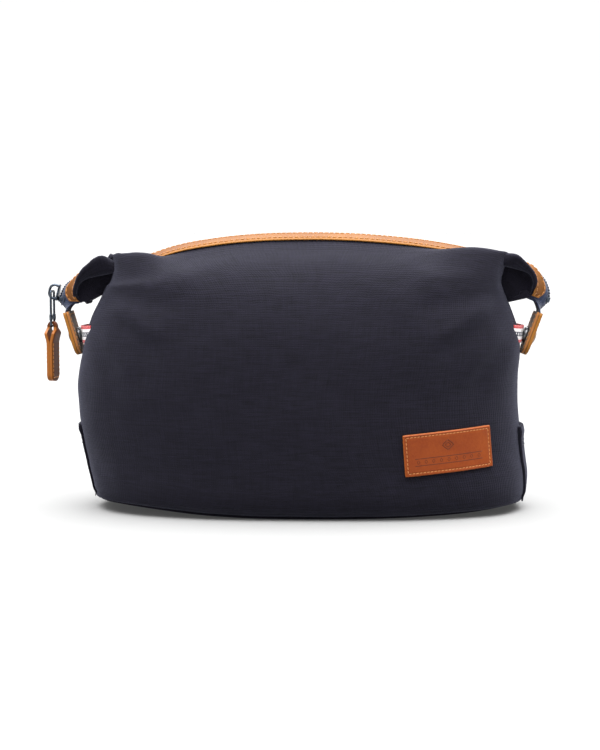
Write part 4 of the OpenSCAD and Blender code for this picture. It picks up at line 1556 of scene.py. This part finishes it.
def make_stops():
    """Bent metal stops clamped over the coil's ends."""
    y, h = squircle(np.linspace(0, 2 * math.pi, 20, endpoint=False), 0.6)
    for side, name, half_w, shift, *replaced in (
            (LEFT, "zip_top_stop_front", 1.45, -1.65, "zip_top_stops"),
            (LEFT, "zip_top_stop_back", 1.45, 1.65),
            (RIGHT, "zip_bottom_stop", 3.0, 0, "zip_bottom_stop")):
        sections = np.array([band_point(side, np.full(20, k), 1.5 * h, half_w * y + shift)
                             for k in np.linspace(END_Q - 5.2, END_Q - 2.4, 8)])
        obj = closed_sweep(name, sections, GUNMETAL)
        bevel(obj, 0.25)
        wing_piece(obj, side, "gunmetal", *replaced)


make_slider()
make_puller()
make_pull()
make_stops()


# ---------------------------------------------------------------- label

LABEL_W, LABEL_H, LABEL_TILT = 51.0, 24.0, 4.5
LABEL_AT = (84.8, 40.2)


def label_point(p, q, out):
    """A point of the label: p along it, q up it and out from the canvas."""
    p, q, out = np.broadcast_arrays(p, q, np.asarray(out, float))
    c, s = math.cos(math.radians(LABEL_TILT)), math.sin(math.radians(LABEL_TILT))
    return front_point(LABEL_AT[0] + p * c - q * s, LABEL_AT[1] + p * s + q * c, out)


def make_label():
    p = LABEL_W / 2 * np.sin(np.linspace(-1, 1, count(90)) * math.pi / 2)[:, None]
    q = LABEL_H / 2 * np.sin(np.linspace(-1, 1, count(50)) * math.pi / 2)[None, :]
    # The corners are slightly rounded, and the stitched border pulls the leather down.
    corner = ease((abs(p) / (LABEL_W / 2) - 0.9) / 0.1) * ease((abs(q) / (LABEL_H / 2) - 0.8) / 0.2)
    pp, qq = p * (1 - 0.005 * corner), q * (1 - 0.011 * corner)
    inset = np.minimum(LABEL_W / 2 - abs(p), LABEL_H / 2 - abs(q))
    soft = 1.55 - 0.55 * np.exp(-(inset / 0.30)**2)
    groove = 0.30 * np.exp(-((inset - 1.6) / 0.5)**2)
    outer = label_point(pp, qq, 0.15 + soft - groove)
    inner = label_point(pp, qq, -0.4)
    obj = solid_grid("label", outer, inner, LABEL_LEATHER)
    rim = np.exp(-(inset / 0.35)**2).ravel()
    edge_attribute(obj, np.concatenate([rim, rim]) * 0.7)
    riding_piece(obj, "bag", "label_leather", "label_patch")

    half_p, half_q = LABEL_W / 2 - 1.6, LABEL_H / 2 - 1.6
    corners = [(-half_p, -half_q), (half_p, -half_q), (half_p, half_q), (-half_p, half_q)]
    rows = []
    for (p0, q0), (p1, q1) in zip(corners, corners[1:] + corners[:1]):
        t = np.linspace(0, 1, 40)
        low, high = (label_point(mix(p0, p1, t), mix(q0, q1, t), out) for out in (1.45, 2.6))
        rows.append((low, unit(high - low)))
    obj = stitches("label_thread", rows, THREAD, pitch=2.2, length=1.75, radius=0.22)
    riding_piece(obj, "bag", "thread")


def pressed(path, radius):
    """A pressed line on the label, along a path of (p, q) points."""
    path = np.asarray(path, float)
    t = np.linspace(0, 1, 1 + 3 * len(path))
    p, q = (np.interp(t, np.linspace(0, 1, len(path)), path[:, k]) for k in (0, 1))
    return closed_sweep("mark", tube(label_point(p, q, 1.62), radius, 8), EMBOSS)


def diamond(p, q, half_w, half_h):
    return [(p, q + half_h), (p + half_w, q), (p, q - half_h), (p - half_w, q), (p, q + half_h)]


def make_label_mark():
    """A plain pattern: one lozenge in another, over a row of diamonds between two lines."""
    marks = [pressed(diamond(0, 4.2, 3.4, 3.0), 0.24), pressed(diamond(0, 4.2, 1.7, 1.5), 0.20)]
    for q in (-2.2, -6.2):
        marks.append(pressed([(p, q) for p in np.linspace(-19.5, 19.5, 24)], 0.20))
    for k in range(-4, 5):
        marks.append(pressed(diamond(4.4 * k, -4.2, 0.825, 1.1), 0.16))
    riding_piece(join(marks, "label_mark"), "bag", "label_leather")


make_label()
make_label_mark()
